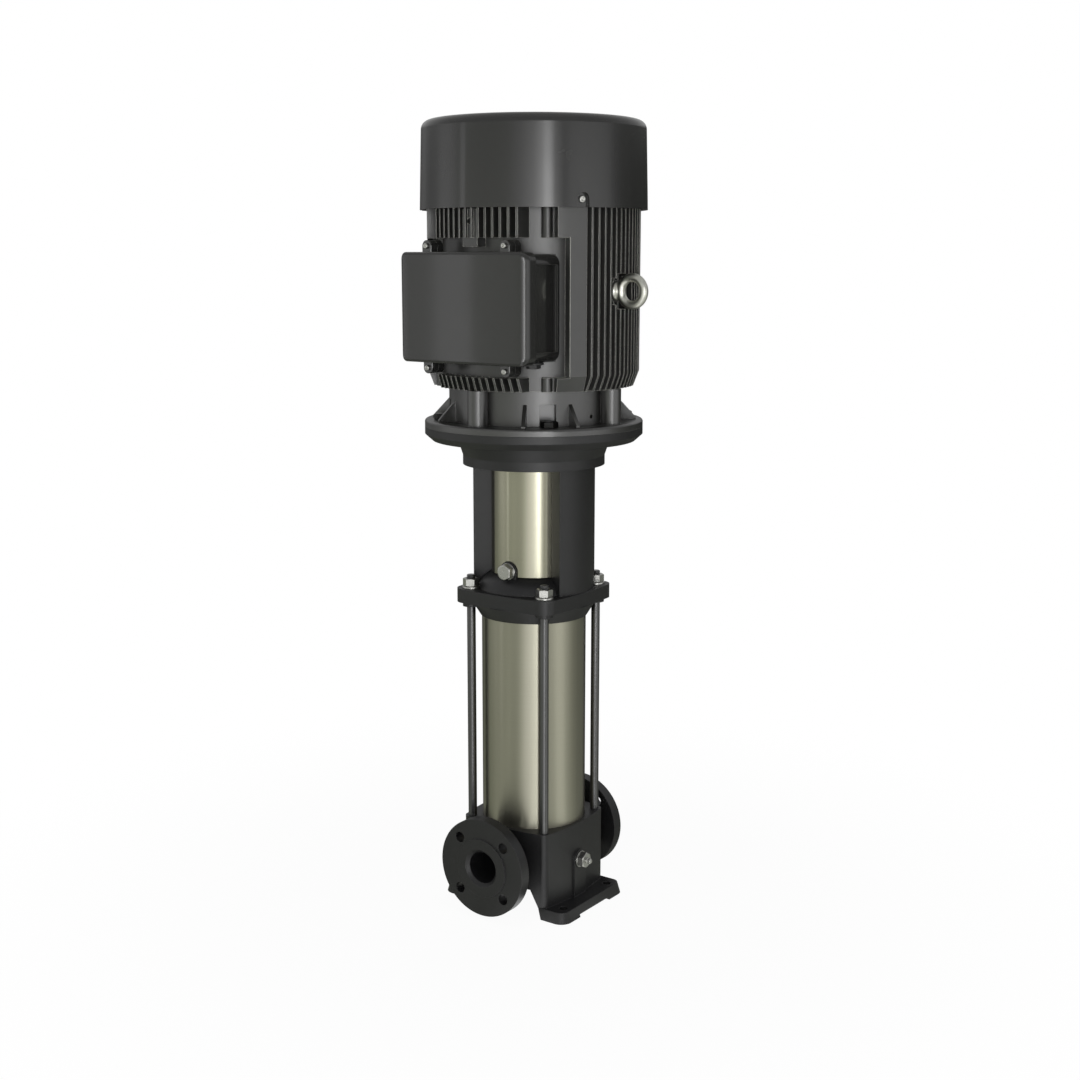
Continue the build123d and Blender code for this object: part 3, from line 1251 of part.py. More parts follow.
with BuildPart() as terminal_box_base:
    with BuildSketch(Plane.XZ.offset(body_front_y)):
        with Locations((0, box_mid_z)):
            RectangleRounded(2 * body_half_w, body_h, box_corner_r)
    extrude(amount=-(body_front_y - box_skirt_y))
    with BuildSketch(Plane.XZ.offset(body_front_y)):
        with Locations(*lug_places):
            Circle(lid_lug_r)
        for x, z in lug_places:
            with Locations((x, (z + box_mid_z) / 2)):
                Rectangle(2 * lid_lug_r, abs(z - box_mid_z))
    extrude(amount=-(lid_depth - box_corner_r))
    with BuildSketch(Plane.XZ.offset(body_front_y)):
        with Locations((0, box_mid_z)):
            RectangleRounded(2 * (body_half_w - box_wall_t), body_h - 2 * box_wall_t,
                             box_corner_r - box_wall_t)
    extrude(amount=-(body_front_y - box_skirt_y - box_wall_t), mode=Mode.SUBTRACT)
    with BuildSketch(Plane.XY.offset(box_bottom_z + box_inset)):
        Circle(housing_barrel_r + free_gap + box_wall_t)
        with Locations((0, -(box_seat_y + box_wall_t) / 2)):
            Rectangle(housing_barrel_r + 2 * box_wall_t, box_seat_y + box_wall_t)
        with Locations((0, -(body_front_y + box_skirt_y) / 2)):
            Rectangle(2 * body_half_w, body_front_y - box_skirt_y, mode=Mode.INTERSECT)
    extrude(amount=body_h)
    with BuildSketch(Plane.XY.offset(box_bottom_z)):
        Circle(housing_barrel_r + free_gap)
        with Locations((0, -box_seat_y / 2)):
            Rectangle(housing_barrel_r, box_seat_y)
    extrude(amount=box_h, mode=Mode.SUBTRACT)
    panel_y = (body_front_y + box_skirt_y) / 2
    for side in (-1, 1):
        with BuildSketch(Plane.YZ.offset(side * body_half_w)):
            with Locations((-panel_y, box_mid_z)):
                Rectangle(body_front_y - box_skirt_y - 2 * box_wall_t, body_h - 2 * box_corner_r)
        extrude(amount=-side * box_recess, mode=Mode.SUBTRACT)
    with BuildSketch(Plane.XZ.offset(body_front_y)):
        with Locations(*lug_places):
            Circle(stud_r + running_gap)
    extrude(amount=-(lid_screw_l + free_gap - lid_depth + box_corner_r - gasket_t), mode=Mode.SUBTRACT)
    with BuildSketch(Plane.XY.offset(box_bottom_z + box_inset)):
        with GridLocations(2 * entry_x, 0, 2, 1):
            with Locations((0, -entry_y)):
                Circle(entry_r + running_gap)
    extrude(amount=box_wall_t, mode=Mode.SUBTRACT)
export(terminal_box_base.part, "terminal_box_base")

with BuildPart() as cable_plugs:
    entry_places = ((-entry_x, -entry_y), (entry_x, -entry_y))
    with BuildSketch(Plane.XY.offset(box_bottom_z + box_inset)):
        with Locations(*entry_places):
            Circle(entry_r)
    extrude(amount=box_wall_t)
    with BuildSketch(Plane.XY.offset(box_bottom_z + box_inset)):
        with Locations(*entry_places):
            Circle(entry_plug_r)
    extrude(amount=-entry_plug_h)
    with BuildSketch(Plane.XY.offset(box_bottom_z + box_inset - entry_plug_h)):
        with Locations(*entry_places):
            RegularPolygon(entry_plug_af / 2, 6, major_radius=False)
    extrude(amount=-entry_plug_hex_h)
export(cable_plugs.part, "cable_plugs")

with BuildPart() as lid_screws:
    with BuildSketch(Plane.XZ.offset(box_front_y - box_corner_r)):
        with Locations(*lug_places):
            Circle(lid_screw_r)
    extrude(amount=lid_screw_h)
    with BuildSketch(Plane.XZ.offset(box_front_y - box_corner_r)):
        with Locations(*lug_places):
            Circle(stud_r)
    extrude(amount=-lid_screw_l)
export(lid_screws.part, "lid_screws")

block_y = box_seat_y + box_wall_t
with BuildPart() as terminal_block:
    with BuildSketch(Plane.XZ.offset(block_y)):
        with Locations((0, box_mid_z)):
            Rectangle(terminal_l, terminal_w)
    extrude(amount=terminal_h)
    with BuildSketch(Plane.XZ.offset(block_y + terminal_h)):
        with Locations((0, box_mid_z)):
            with GridLocations(terminal_l / 3, terminal_w / 2, 3, 2):
                Circle(stud_r)
    extrude(amount=terminal_h)
export(terminal_block.part, "terminal_block")

# ---- eyebolt ----------------------------------------------------------------------------------------
with BuildPart() as eyebolt:
    with BuildSketch(Plane.YZ.offset(eye_seat_x)):
        with Locations((0, eye_z)):
            Circle(eye_collar_r)
    extrude(amount=eye_collar_h, taper=eye_collar_taper)
    with BuildSketch(Plane.YZ.offset(eye_seat_x)):
        with Locations((0, eye_z)):
            Circle(eye_thread_r)
    extrude(amount=-eye_thread_l)
    with Locations(Location((eye_seat_x + eye_centre, 0, eye_z), (90, 0, 0))):
        Torus(eye_ring_r, eye_wire_r)
export(eyebolt.part, "eyebolt")
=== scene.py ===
# %% [markdown]
# # A vertical multistage pump
# The construction of this pump is already settled: every casting, tube, bolt and wheel comes in as a fixed
# frame, in metres, standing on z = 0 with the shaft on the Z axis. This lesson dresses it. It sets the
# camera and a small studio, gives each finish its own material, and then makes the small turned and forged
# pieces, and the lid of the terminal box, which deserve more shape than plain solids have.

# %% Load the frame
import json
from math import cos, pi, radians, sin

import bmesh
import bpy
import numpy as np
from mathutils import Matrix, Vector


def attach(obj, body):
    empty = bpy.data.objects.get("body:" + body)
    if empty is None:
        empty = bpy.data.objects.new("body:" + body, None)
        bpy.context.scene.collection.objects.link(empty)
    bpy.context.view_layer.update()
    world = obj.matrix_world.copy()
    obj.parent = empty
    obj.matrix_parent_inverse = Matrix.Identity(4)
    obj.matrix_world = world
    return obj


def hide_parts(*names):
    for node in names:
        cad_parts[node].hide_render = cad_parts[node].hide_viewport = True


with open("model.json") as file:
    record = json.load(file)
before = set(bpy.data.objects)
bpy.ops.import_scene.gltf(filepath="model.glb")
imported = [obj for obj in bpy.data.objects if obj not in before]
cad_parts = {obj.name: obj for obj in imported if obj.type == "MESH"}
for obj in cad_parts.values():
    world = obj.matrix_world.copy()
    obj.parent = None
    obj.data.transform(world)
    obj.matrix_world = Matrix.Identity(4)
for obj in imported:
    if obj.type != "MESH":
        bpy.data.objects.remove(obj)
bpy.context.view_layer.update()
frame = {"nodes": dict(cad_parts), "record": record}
nodes = frame["nodes"]
mm = 0.001
print("nodes in the frame:", len(nodes))

# %% [markdown]
# ## The camera
# A camera could be placed by eye, but here it is worked out: it looks at a point on the shaft, from an
# azimuth counted from the inlet side, and from a little above. The distance and the focal length together
# set how strongly the round flanges open into ellipses, so they are kept as a pair. The small shift slides
# the frame sideways, so that the shaft stands just left of its middle.

# %% Camera
view_azimuth = radians(35.79)
view_pitch = radians(10.41)
view_distance = 2.58
look_at = Vector((0, 0, 0.6175))
back = Vector((sin(view_azimuth) * cos(view_pitch), -cos(view_azimuth) * cos(view_pitch), sin(view_pitch)))
camera = bpy.data.objects.new("camera", bpy.data.cameras.new("camera"))
camera.data.sensor_width = 36
camera.data.lens = 51.76
camera.data.shift_x = 0.0057
camera.data.clip_end = 50
camera.location = look_at + back * view_distance
camera.rotation_euler = back.to_track_quat("Z", "Y").to_euler()
bpy.context.scene.collection.objects.link(camera)
bpy.context.scene.camera = camera
bpy.context.scene.view_settings.view_transform = "Standard"
print("camera stands at", [round(c, 3) for c in camera.location])

# %% [markdown]
# ## Three small helpers
# Colours are easiest to write as the hex values that a colour picker shows, but a renderer adds light in
# linear values, so one function turns one into the other. The second adds a node to a material with its
# settings and its links in one call, which keeps every recipe below short enough to read. The third opens
# an empty material for a recipe.

# %% Colour and node helpers
def linear(hex_colour):
    """sRGB hex to linear RGBA: each channel c becomes ((c + 0.055) / 1.055) to the power 2.4."""
    channels = np.array([int(hex_colour[i:i + 2], 16) for i in (1, 3, 5)]) / 255
    values = np.where(channels <= 0.04045, channels / 12.92, ((channels + 0.055) / 1.055) ** 2.4)
    return (*[float(v) for v in values], 1.0)


def add(tree, kind, settings=None, links=None):
    """Add one node. Settings name a property or an input, links an input and the socket that feeds it."""
    node = tree.nodes.new(kind)
    for name, value in (settings or {}).items():
        if isinstance(name, str) and hasattr(node, name):
            setattr(node, name, value)
        else:
            node.inputs[name].default_value = value
    for name, socket in (links or {}).items():
        tree.links.new(socket, node.inputs[name])
    return node


def new_material(name):
    """An empty node material and its tree, ready for a recipe."""
    made = bpy.data.materials.new(name)
    made.use_nodes = True
    made.node_tree.nodes.clear()
    return made, made.node_tree


print("mid grey #808080 in linear light:", round(linear("#808080")[0], 3))

# %% [markdown]
# ## The studio
# A dark glossy object is lit by way of what it reflects. Studios stand white boards and black flags round
# the set: where a board is mirrored the enamel is pale, where a flag is mirrored it turns deep, and the
# steps between them draw the vertical bands that tell the eye "this is a polished cylinder". Boards could
# be modelled one by one, but the floor would hide their feet from a low mirror such as the sleeve. So the
# studio is a ring of shades instead: a table says how bright each direction round the pump is, and the air
# and the floor look it up, each in a table of its own, for mirrored rays only. The camera sees plain white.
# A stop of a colour ramp can't pass 1, so the table holds shares of the brightest level, and the strength of
# the light brings them back.

# %% The ring of shades
brightest = 10.0
red_loss = 0.3


def ring_of_shades(tree, direction, shades):
    """Brightness by azimuth: the angle of the direction beside the camera, from -180 to 180 degrees, is
    looked up in a table of (azimuth, brightness, warmth) stops. The share warmth of the blue is taken away,
    and warmth * red_loss of the red."""
    turned_back = add(tree, "ShaderNodeVectorRotate", {"rotation_type": "Z_AXIS", "Angle": -view_azimuth},
                      {"Vector": direction})
    parts = add(tree, "ShaderNodeSeparateXYZ", None, {0: turned_back.outputs[0]})
    front = add(tree, "ShaderNodeMath", {"operation": "MULTIPLY", 1: -1.0}, {0: parts.outputs["Y"]})
    angle = add(tree, "ShaderNodeMath", {"operation": "ARCTAN2"},
                {0: parts.outputs["X"], 1: front.outputs[0]})
    share = add(tree, "ShaderNodeMapRange", {"From Min": -pi, "From Max": pi}, {"Value": angle.outputs[0]})
    table = add(tree, "ShaderNodeValToRGB", None, {"Fac": share.outputs[0]})
    stops = table.color_ramp.elements
    while len(stops) < len(shades):
        stops.new(0.5)
    for stop, (azimuth, brightness, warmth) in zip(stops, shades):
        stop.position = (azimuth + 180) / 360
        level = brightness / brightest
        stop.color = (level * (1 - red_loss * warmth), level, level * (1 - warmth), 1)
    return table.outputs["Color"]


high_shades = (
    (-180, 0.05, 0), (-158, 0.12, 0), (-146, 0.25, 0), (-128, 0.24, 0), (-115, 0.42, 0), (-104, 0.95, 0),
    (-94, 1.15, 0), (-86, 1.05, 0), (-82, 0.8, 0.05), (-79, 0.85, 0.05), (-77.5, 1.7, 0), (-73, 1.95, 0),
    (-72, 0.85, 0.08), (-52, 0.85, 0.08), (-38, 0.9, 0.08), (-26, 1.0, 0.08), (-13, 1.6, 0), (0, 2.9, 0),
    (8, 5.6, 0), (12, 9.6, 0), (16, 9.0, 0), (21, 2.4, 0), (30, 0.8, 0), (37, 1.6, 0), (48, 1.8, 0),
    (66, 1.55, 0), (78, 1.2, 0), (88, 0.45, 0), (100, 0.18, 0.08), (118, 0.08, 0.1), (150, 0.04, 0.1))
low_shades = (
    (-180, 0.05, 0.2), (-150, 0.1, 0.2), (-134, 0.3, 0.2), (-115, 0.36, 0.2), (-100, 0.32, 0.2),
    (-88, 0.43, 0.15), (-76, 0.4, 0.15), (-65, 0.46, 0.12), (-55, 0.54, 0.12), (-45, 0.44, 0.12),
    (-34, 0.52, 0.1), (-26, 0.9, 0.05), (-16, 1.3, 0), (-8, 1.4, 0), (0, 1.55, 0), (9, 1.55, 0),
    (15, 1.2, 0), (24, 0.5, 0.08), (44, 0.6, 0.08), (52, 0.95, 0.05), (66, 0.95, 0.05), (74, 0.6, 0.08),
    (88, 0.48, 0.1), (100, 0.34, 0.1), (115, 0.26, 0.1), (140, 0.2, 0.15), (155, 0.06, 0.15))
print("shades up high:", len(high_shades), "and down low:", len(low_shades))

# %% [markdown]
# The floor is a disc of matt white paper. Camera rays find part of it glowing, so that it reads white and
# still keeps a soft shadow: the glow grows from a share near the pump to all of the light far away, where
# paper and air have to meet without a line. Rays from a mirror that fall on the disc see the low shades.

# %% Floor
def paper(name, shade, glow, near, far):
    """Matt paper that shows the low shades to mirrors and glows for camera rays. The glow rises smoothly
    from `glow` at the distance `near` from the shaft to 1 at `far`."""
    made, tree = new_material(name)
    place = add(tree, "ShaderNodeTexCoord").outputs["Object"]
    away = add(tree, "ShaderNodeVectorMath", {"operation": "LENGTH"}, {0: place})
    spread = add(tree, "ShaderNodeMapRange",
                 {"interpolation_type": "SMOOTHSTEP", "From Min": near, "From Max": far, "To Min": glow,
                  "To Max": 1.0}, {"Value": away.outputs["Value"]})
    path = add(tree, "ShaderNodeLightPath")
    seen = add(tree, "ShaderNodeMath", {"operation": "MULTIPLY"},
               {0: path.outputs["Is Camera Ray"], 1: spread.outputs[0]})
    matt = add(tree, "ShaderNodeBsdfDiffuse", {"Color": linear(shade)})
    white = add(tree, "ShaderNodeEmission", {"Color": linear("#FFFFFF"), "Strength": 1.0})
    mirrored = add(tree, "ShaderNodeEmission", {"Strength": brightest},
                   {"Color": ring_of_shades(tree, place, low_shades)})
    plain = add(tree, "ShaderNodeMixShader", None,
                {0: seen.outputs[0], 1: matt.outputs[0], 2: white.outputs[0]})
    whole = add(tree, "ShaderNodeMixShader", None,
                {0: path.outputs["Is Glossy Ray"], 1: plain.outputs[0], 2: mirrored.outputs[0]})
    add(tree, "ShaderNodeOutputMaterial", None, {"Surface": whole.outputs[0]})
    return made


floor_r = 4.4
floor_z = -mm
rim_count = 96
rim_angle = np.linspace(0, 2 * pi, rim_count, endpoint=False)
rim = np.stack([floor_r * np.cos(rim_angle), floor_r * np.sin(rim_angle), np.full(rim_count, floor_z)], -1)
floor_mesh = bpy.data.meshes.new("floor")
floor_mesh.from_pydata(rim.tolist(), [], [tuple(range(rim_count))])
floor = bpy.data.objects.new("floor", floor_mesh)
floor_mesh.materials.append(paper("white paper", "#F4F4F4", glow=0.95, near=0.25, far=1.2))
bpy.context.scene.collection.objects.link(floor)
print("floor is", 2 * floor_r, "m wide")

# %% [markdown]
# The air is an even soft light, and white for the camera. Rays from a mirror that pass over the rim of the
# floor see the high shades in it, as the walls of a room. A little higher up the walls give way to a plain
# ceiling, so that rounded tops and the flares of the castings mirror no bands. Heights here are the Z of a
# direction of length 1: 0 is level and 1 is straight up.

# %% Air
room_light = 0.26
wall_top, ceiling_foot = 0.065, 0.2
ceiling_level = 0.55 / brightest
world = bpy.data.worlds.new("studio")
bpy.context.scene.world = world
world.use_nodes = True
sky = world.node_tree
sky.nodes.clear()
ray = add(sky, "ShaderNodeLightPath")
way = add(sky, "ShaderNodeTexCoord").outputs["Generated"]
plain_level = add(sky, "ShaderNodeMapRange", {"To Min": room_light, "To Max": 1.0},
                  {"Value": ray.outputs["Is Camera Ray"]})
plain_air = add(sky, "ShaderNodeBackground", {"Color": linear("#FFFFFF")},
                {"Strength": plain_level.outputs[0]})
heading = add(sky, "ShaderNodeSeparateXYZ", None, {0: way})
above = add(sky, "ShaderNodeMapRange",
            {"interpolation_type": "SMOOTHSTEP", "From Min": wall_top, "From Max": ceiling_foot},
            {"Value": heading.outputs["Z"]})
walls = ring_of_shades(sky, way, high_shades)
room = add(sky, "ShaderNodeMix", {"data_type": "RGBA", 7: (ceiling_level, ceiling_level, ceiling_level, 1)},
           {0: above.outputs[0], 6: walls})
mirrored_air = add(sky, "ShaderNodeBackground", {"Strength": brightest}, {"Color": room.outputs[2]})
air = add(sky, "ShaderNodeMixShader", None,
          {0: ray.outputs["Is Glossy Ray"], 1: plain_air.outputs[0], 2: mirrored_air.outputs[0]})
add(sky, "ShaderNodeOutputWorld", None, {"Surface": air.outputs[0]})
print("the walls end", wall_top, "above level, the ceiling starts at", ceiling_foot)

# %% [markdown]
# Four lamps do the lighting proper. The key is a tall softbox just left of the camera, a wider and weaker
# one fills from farther left, one behind keeps the far side readable, and one above lights the flanges. They
# aren't mirrored themselves, because the ring of shades already says what the steel sees.

# %% Lamps
def softbox(name, azimuth, height, distance, width, tall, power, aim):
    """Rectangular area lamp at an azimuth beside the camera, turned towards a height on the shaft."""
    lamp = bpy.data.lights.new(name, "AREA")
    lamp.shape = "RECTANGLE"
    lamp.size = width
    lamp.size_y = tall
    lamp.energy = power
    turn = view_azimuth + radians(azimuth)
    place = Vector((distance * sin(turn), -distance * cos(turn), height))
    tripod = bpy.data.objects.new(name, lamp)
    tripod.location = place
    tripod.rotation_euler = (place - Vector((0, 0, aim))).to_track_quat("Z", "Y").to_euler()
    tripod.visible_glossy = False
    bpy.context.scene.collection.objects.link(tripod)


lamp_rows = (  # name, azimuth, height, distance, width, tall, power, aim: degrees, metres and watts
    ("key_lamp", -5, 1.2, 3.4, 1.0, 2.2, 34, 0.7),
    ("fill_lamp", -60, 1.4, 3.4, 1.6, 2.2, 14, 0.6),
    ("back_lamp", 180, 1.6, 3.4, 2.0, 2.2, 26, 0.6),
    ("top_lamp", 10, 3.6, 1.2, 1.8, 1.8, 26, 0.6))
for lamp_row in lamp_rows:
    softbox(*lamp_row)

# %% [markdown]
# ## Painted castings
# The base, the head and the motor stool are iron sand castings under a thin satin paint, and the motor's
# shields and finned housing are cast aluminium under enamel. Sand leaves a grain of about a millimetre, the
# paint rounds it off and pools a little in the hollows, and handling polishes the crests. Modelling such
# grain would take millions of faces, so it is a bump worked out from noise at its real size. The Bevel node
# rounds the look of every sharp edge by the radius that paint gives it, and where its normal leaves the true
# one the edge is painted a paler shade, partly as worn paint and partly as a painted highlight, the glint
# that a rounded edge would catch. The fins' edges get a near-white painted highlight at full share.

# %% Painted casting
flat_enough = 0.995


def worn_and_highlit_edges(tree, edge, width):
    """How worn and how highlit a place is, from the dot product of the rounded normal and the true one:
    0 where it is above flat_enough, rising to 1 where it falls to 1 - width. The paler edge this leads to
    is partly worn paint and partly a painted highlight."""
    true = add(tree, "ShaderNodeNewGeometry")
    agree = add(tree, "ShaderNodeVectorMath", {"operation": "DOT_PRODUCT"},
                {0: edge.outputs[0], 1: true.outputs["Normal"]})
    return add(tree, "ShaderNodeMapRange", {"From Min": flat_enough, "From Max": 1 - width},
               {"Value": agree.outputs["Value"]})


def cast_paint(name, colour, worn_colour, edge_colour, roughness, grain_mm, depth_mm, edge_mm, shine,
               rub_and_highlight_share=0.5, uneven_mm=34, pit_mm=7):
    """Paint over a sand casting: fine grain, slow unevenness, a few pits, and a paler edge shade that is
    partly worn paint and partly a painted highlight.
    """
    made, tree = new_material(name)
    place = add(tree, "ShaderNodeTexCoord").outputs["Object"]
    grain = add(tree, "ShaderNodeTexNoise",
                {"Scale": 1 / (grain_mm * mm), "Detail": 3.0, "Roughness": 0.62}, {"Vector": place})
    slow = add(tree, "ShaderNodeTexNoise", {"Scale": 1 / (uneven_mm * mm), "Detail": 2.0},
               {"Vector": place})
    pits = add(tree, "ShaderNodeTexVoronoi", {"Scale": 1 / (pit_mm * mm), "Randomness": 1.0},
               {"Vector": place})
    pit = add(tree, "ShaderNodeMapRange",
              {"From Min": 0.05, "From Max": 0.16, "To Min": 0.0, "To Max": 1.0},
              {"Value": pits.outputs["Distance"]})
    tone = add(tree, "ShaderNodeMix", {"data_type": "RGBA", 6: linear(colour), 7: linear(worn_colour)},
               {0: slow.outputs["Fac"]})
    gloss = add(tree, "ShaderNodeMapRange", {"To Min": roughness - 0.06, "To Max": roughness + 0.1},
                {"Value": grain.outputs["Fac"]})
    edge = add(tree, "ShaderNodeBevel", {"samples": 4, "Radius": edge_mm * mm})
    # the paler edge tint is partly worn paint and partly a painted highlight along rounded edges
    rub_and_highlight = add(tree, "ShaderNodeMath", {"operation": "MULTIPLY", 1: rub_and_highlight_share},
               {0: worn_and_highlit_edges(tree, edge, 0.3).outputs[0]})
    tone = add(tree, "ShaderNodeMix", {"data_type": "RGBA", 7: linear(edge_colour)},
               {0: rub_and_highlight.outputs[0], 6: tone.outputs[2]})
    wavy = add(tree, "ShaderNodeBump", {"Strength": 0.6, "Distance": 0.35 * mm},
               {"Height": slow.outputs["Fac"], "Normal": edge.outputs[0]})
    holes = add(tree, "ShaderNodeBump", {"Strength": 0.35, "Distance": 0.12 * mm},
                {"Height": pit.outputs[0], "Normal": wavy.outputs[0]})
    rough = add(tree, "ShaderNodeBump", {"Strength": 0.8, "Distance": depth_mm * mm},
                {"Height": grain.outputs["Fac"], "Normal": holes.outputs[0]})
    skin = add(tree, "ShaderNodeBsdfPrincipled", {"IOR": 1.5, "Specular IOR Level": shine},
               {"Base Color": tone.outputs[2], "Roughness": gloss.outputs[0], "Normal": rough.outputs[0]})
    add(tree, "ShaderNodeOutputMaterial", None, {"Surface": skin.outputs[0]})
    return made


pump_iron = cast_paint("satin painted cast iron", "#131314", "#1A1A1B", "#3A3A3B", roughness=0.42,
                       grain_mm=1.1, depth_mm=0.08, edge_mm=1.4, shine=0.5)
motor_cast = cast_paint("enamelled cast aluminium", "#232322", "#2B2B29", "#5C5C58", roughness=0.31,
                        grain_mm=1.4, depth_mm=0.05, edge_mm=1.0, shine=1.0)
# the near-white edge colour at full share is a painted highlight on the fin tips, with a little worn paint in
# it
housing_cast = cast_paint("enamelled finned casting", "#252524", "#30302E", "#E0E0D6", roughness=0.34,
                          grain_mm=1.4, depth_mm=0.05, edge_mm=1.2, shine=0.8, rub_and_highlight_share=1.0)
print("castings:", pump_iron.name, motor_cast.name, housing_cast.name, sep=", ")

# %% [markdown]
# ## Stoving enamel
# The fan cover and the terminal box are smooth pressings and die castings under a semi-gloss enamel. What
# the eye reads there is a soft reflection of the enamel with a clearer one of its glassy skin on top, which
# is a thin coat on the shader. Both are broken by the faint orange peel that sprayed paint always has, with
# waves a few millimetres long, and by a little dust on upward faces.

# %% Enamel
def enamel(name, colour, edge_colour, roughness, peel_mm, edge_mm, drift_mm=60, dust_mm=0.9):
    """Semi-gloss sprayed enamel under a thin clear coat: orange peel as a shallow bump, roughness that
    drifts slowly, a trace of dust."""
    made, tree = new_material(name)
    place = add(tree, "ShaderNodeTexCoord").outputs["Object"]
    peel = add(tree, "ShaderNodeTexNoise", {"Scale": 1 / (peel_mm * mm), "Detail": 1.0}, {"Vector": place})
    slow = add(tree, "ShaderNodeTexNoise", {"Scale": 1 / (drift_mm * mm), "Detail": 3.0}, {"Vector": place})
    speck = add(tree, "ShaderNodeTexNoise", {"Scale": 1 / (dust_mm * mm), "Detail": 2.0}, {"Vector": place})
    up = add(tree, "ShaderNodeSeparateXYZ", None,
             {0: add(tree, "ShaderNodeNewGeometry").outputs["Normal"]})
    dusty = add(tree, "ShaderNodeMapRange", {"From Min": 0.4, "From Max": 1.0, "To Max": 0.22},
                {"Value": up.outputs["Z"]})
    dust = add(tree, "ShaderNodeMath", {"operation": "MULTIPLY"},
               {0: dusty.outputs[0], 1: speck.outputs["Fac"]})
    tone = add(tree, "ShaderNodeMix", {"data_type": "RGBA", 6: linear(colour), 7: linear("#6A6862")},
               {0: dust.outputs[0]})
    gloss = add(tree, "ShaderNodeMapRange", {"To Min": roughness - 0.05, "To Max": roughness + 0.07},
                {"Value": slow.outputs["Fac"]})
    edge = add(tree, "ShaderNodeBevel", {"samples": 4, "Radius": edge_mm * mm})
    # the paler edge tint is partly worn paint and partly a painted highlight along rounded edges
    rub_and_highlight = add(tree, "ShaderNodeMath", {"operation": "MULTIPLY", 1: 0.7},
               {0: worn_and_highlit_edges(tree, edge, 0.3).outputs[0]})
    tone = add(tree, "ShaderNodeMix", {"data_type": "RGBA", 7: linear(edge_colour)},
               {0: rub_and_highlight.outputs[0], 6: tone.outputs[2]})
    waves = add(tree, "ShaderNodeBump", {"Strength": 0.25, "Distance": 0.06 * mm},
                {"Height": peel.outputs["Fac"], "Normal": edge.outputs[0]})
    skin = add(tree, "ShaderNodeBsdfPrincipled",
               {"IOR": 1.5, "Specular IOR Level": 0.25, "Coat Weight": 0.5, "Coat Roughness": 0.07},
               {"Base Color": tone.outputs[2], "Roughness": gloss.outputs[0], "Normal": waves.outputs[0]})
    add(tree, "ShaderNodeOutputMaterial", None, {"Surface": skin.outputs[0]})
    return made


motor_enamel = enamel("semi-gloss motor enamel", "#262625", "#6A6A64", roughness=0.24, peel_mm=3.5,
                      edge_mm=0.9)
print("enamel:", motor_enamel.name)

# %% [markdown]
# ## Brushed stainless steel
# The sleeve and the coupling guards are rolled from sheet that was brushed with a belt. The belt leaves
# scratches a few hundredths of a millimetre wide and tens of millimetres long. Noise stretched along the
# scratches and squeezed across them does this: it is drawn about ten times coarser than the real lines, so
# that it still shows at arm's length. The lines vary the colour and the roughness more than the height.
# Scratches also smear a highlight across themselves, here up and down the tube. The shader's anisotropy
# does that, with a tangent that runs round the shaft.

# %% Brushed steel
def brushed(name, colour, dark_colour, roughness, line_mm, run_mm, cloud_mm=70, edge_mm=0.4):
    """Metal brushed round its axis: noise squeezed to the line width in Z and stretched to the run length
    round it, a slow cloud in the roughness, and highlights smeared along Z."""
    made, tree = new_material(name)
    place = add(tree, "ShaderNodeTexCoord").outputs["Object"]
    long_lines = add(tree, "ShaderNodeMapping",
                     {"Scale": (1 / (run_mm * mm), 1 / (run_mm * mm), 1 / (line_mm * mm))},
                     {"Vector": place})
    lines = add(tree, "ShaderNodeTexNoise", {"Scale": 1.0, "Detail": 4.0, "Roughness": 0.7},
                {"Vector": long_lines.outputs[0]})
    cloud = add(tree, "ShaderNodeTexNoise", {"Scale": 1 / (cloud_mm * mm), "Detail": 2.0},
                {"Vector": place})
    tone = add(tree, "ShaderNodeMix", {"data_type": "RGBA", 6: linear(dark_colour), 7: linear(colour)},
               {0: lines.outputs["Fac"]})
    gloss = add(tree, "ShaderNodeMapRange", {"To Min": roughness - 0.02, "To Max": roughness + 0.02},
                {"Value": lines.outputs["Fac"]})
    drift = add(tree, "ShaderNodeMath", {"operation": "MULTIPLY_ADD", 1: 0.04, 2: -0.02},
                {0: cloud.outputs["Fac"]})
    total = add(tree, "ShaderNodeMath", {"operation": "ADD"}, {0: gloss.outputs[0], 1: drift.outputs[0]})
    edge = add(tree, "ShaderNodeBevel", {"samples": 4, "Radius": edge_mm * mm})
    scratch = add(tree, "ShaderNodeBump", {"Strength": 0.05, "Distance": 0.02 * mm},
                  {"Height": lines.outputs["Fac"], "Normal": edge.outputs[0]})
    round_way = add(tree, "ShaderNodeTangent", {"direction_type": "RADIAL", "axis": "Z"})
    skin = add(tree, "ShaderNodeBsdfPrincipled",
               {"Metallic": 1.0, "Anisotropic": 0.9, "Anisotropic Rotation": 0.25},
               {"Base Color": tone.outputs[2], "Roughness": total.outputs[0],
                "Normal": scratch.outputs[0], "Tangent": round_way.outputs[0]})
    add(tree, "ShaderNodeOutputMaterial", None, {"Surface": skin.outputs[0]})
    return made


sleeve_steel = brushed("brushed stainless steel", "#A8A697", "#9F9D8D", 0.32, line_mm=0.5, run_mm=160)
guard_steel = brushed("bright rolled stainless steel", "#AAA897", "#A09E8C", 0.26, line_mm=0.5, run_mm=160)
inner_steel = brushed("pressed stainless steel", "#A9A9A4", "#93938E", 0.30, line_mm=0.8, run_mm=20)
print("stainless:", sleeve_steel.name, guard_steel.name, inner_steel.name, sep=", ")

# %% [markdown]
# ## Plated and machined steel
# Nuts, plugs, screws and the eyebolt are zinc plated. Zinc is a pale metal with a cloudy, slightly uneven
# shine, brighter on wrench flats. The stay bolts and shafts are plain drawn or turned steel, darker, with a
# film of oil, and with lathe marks running round them. The motor's own bolts are blackened.

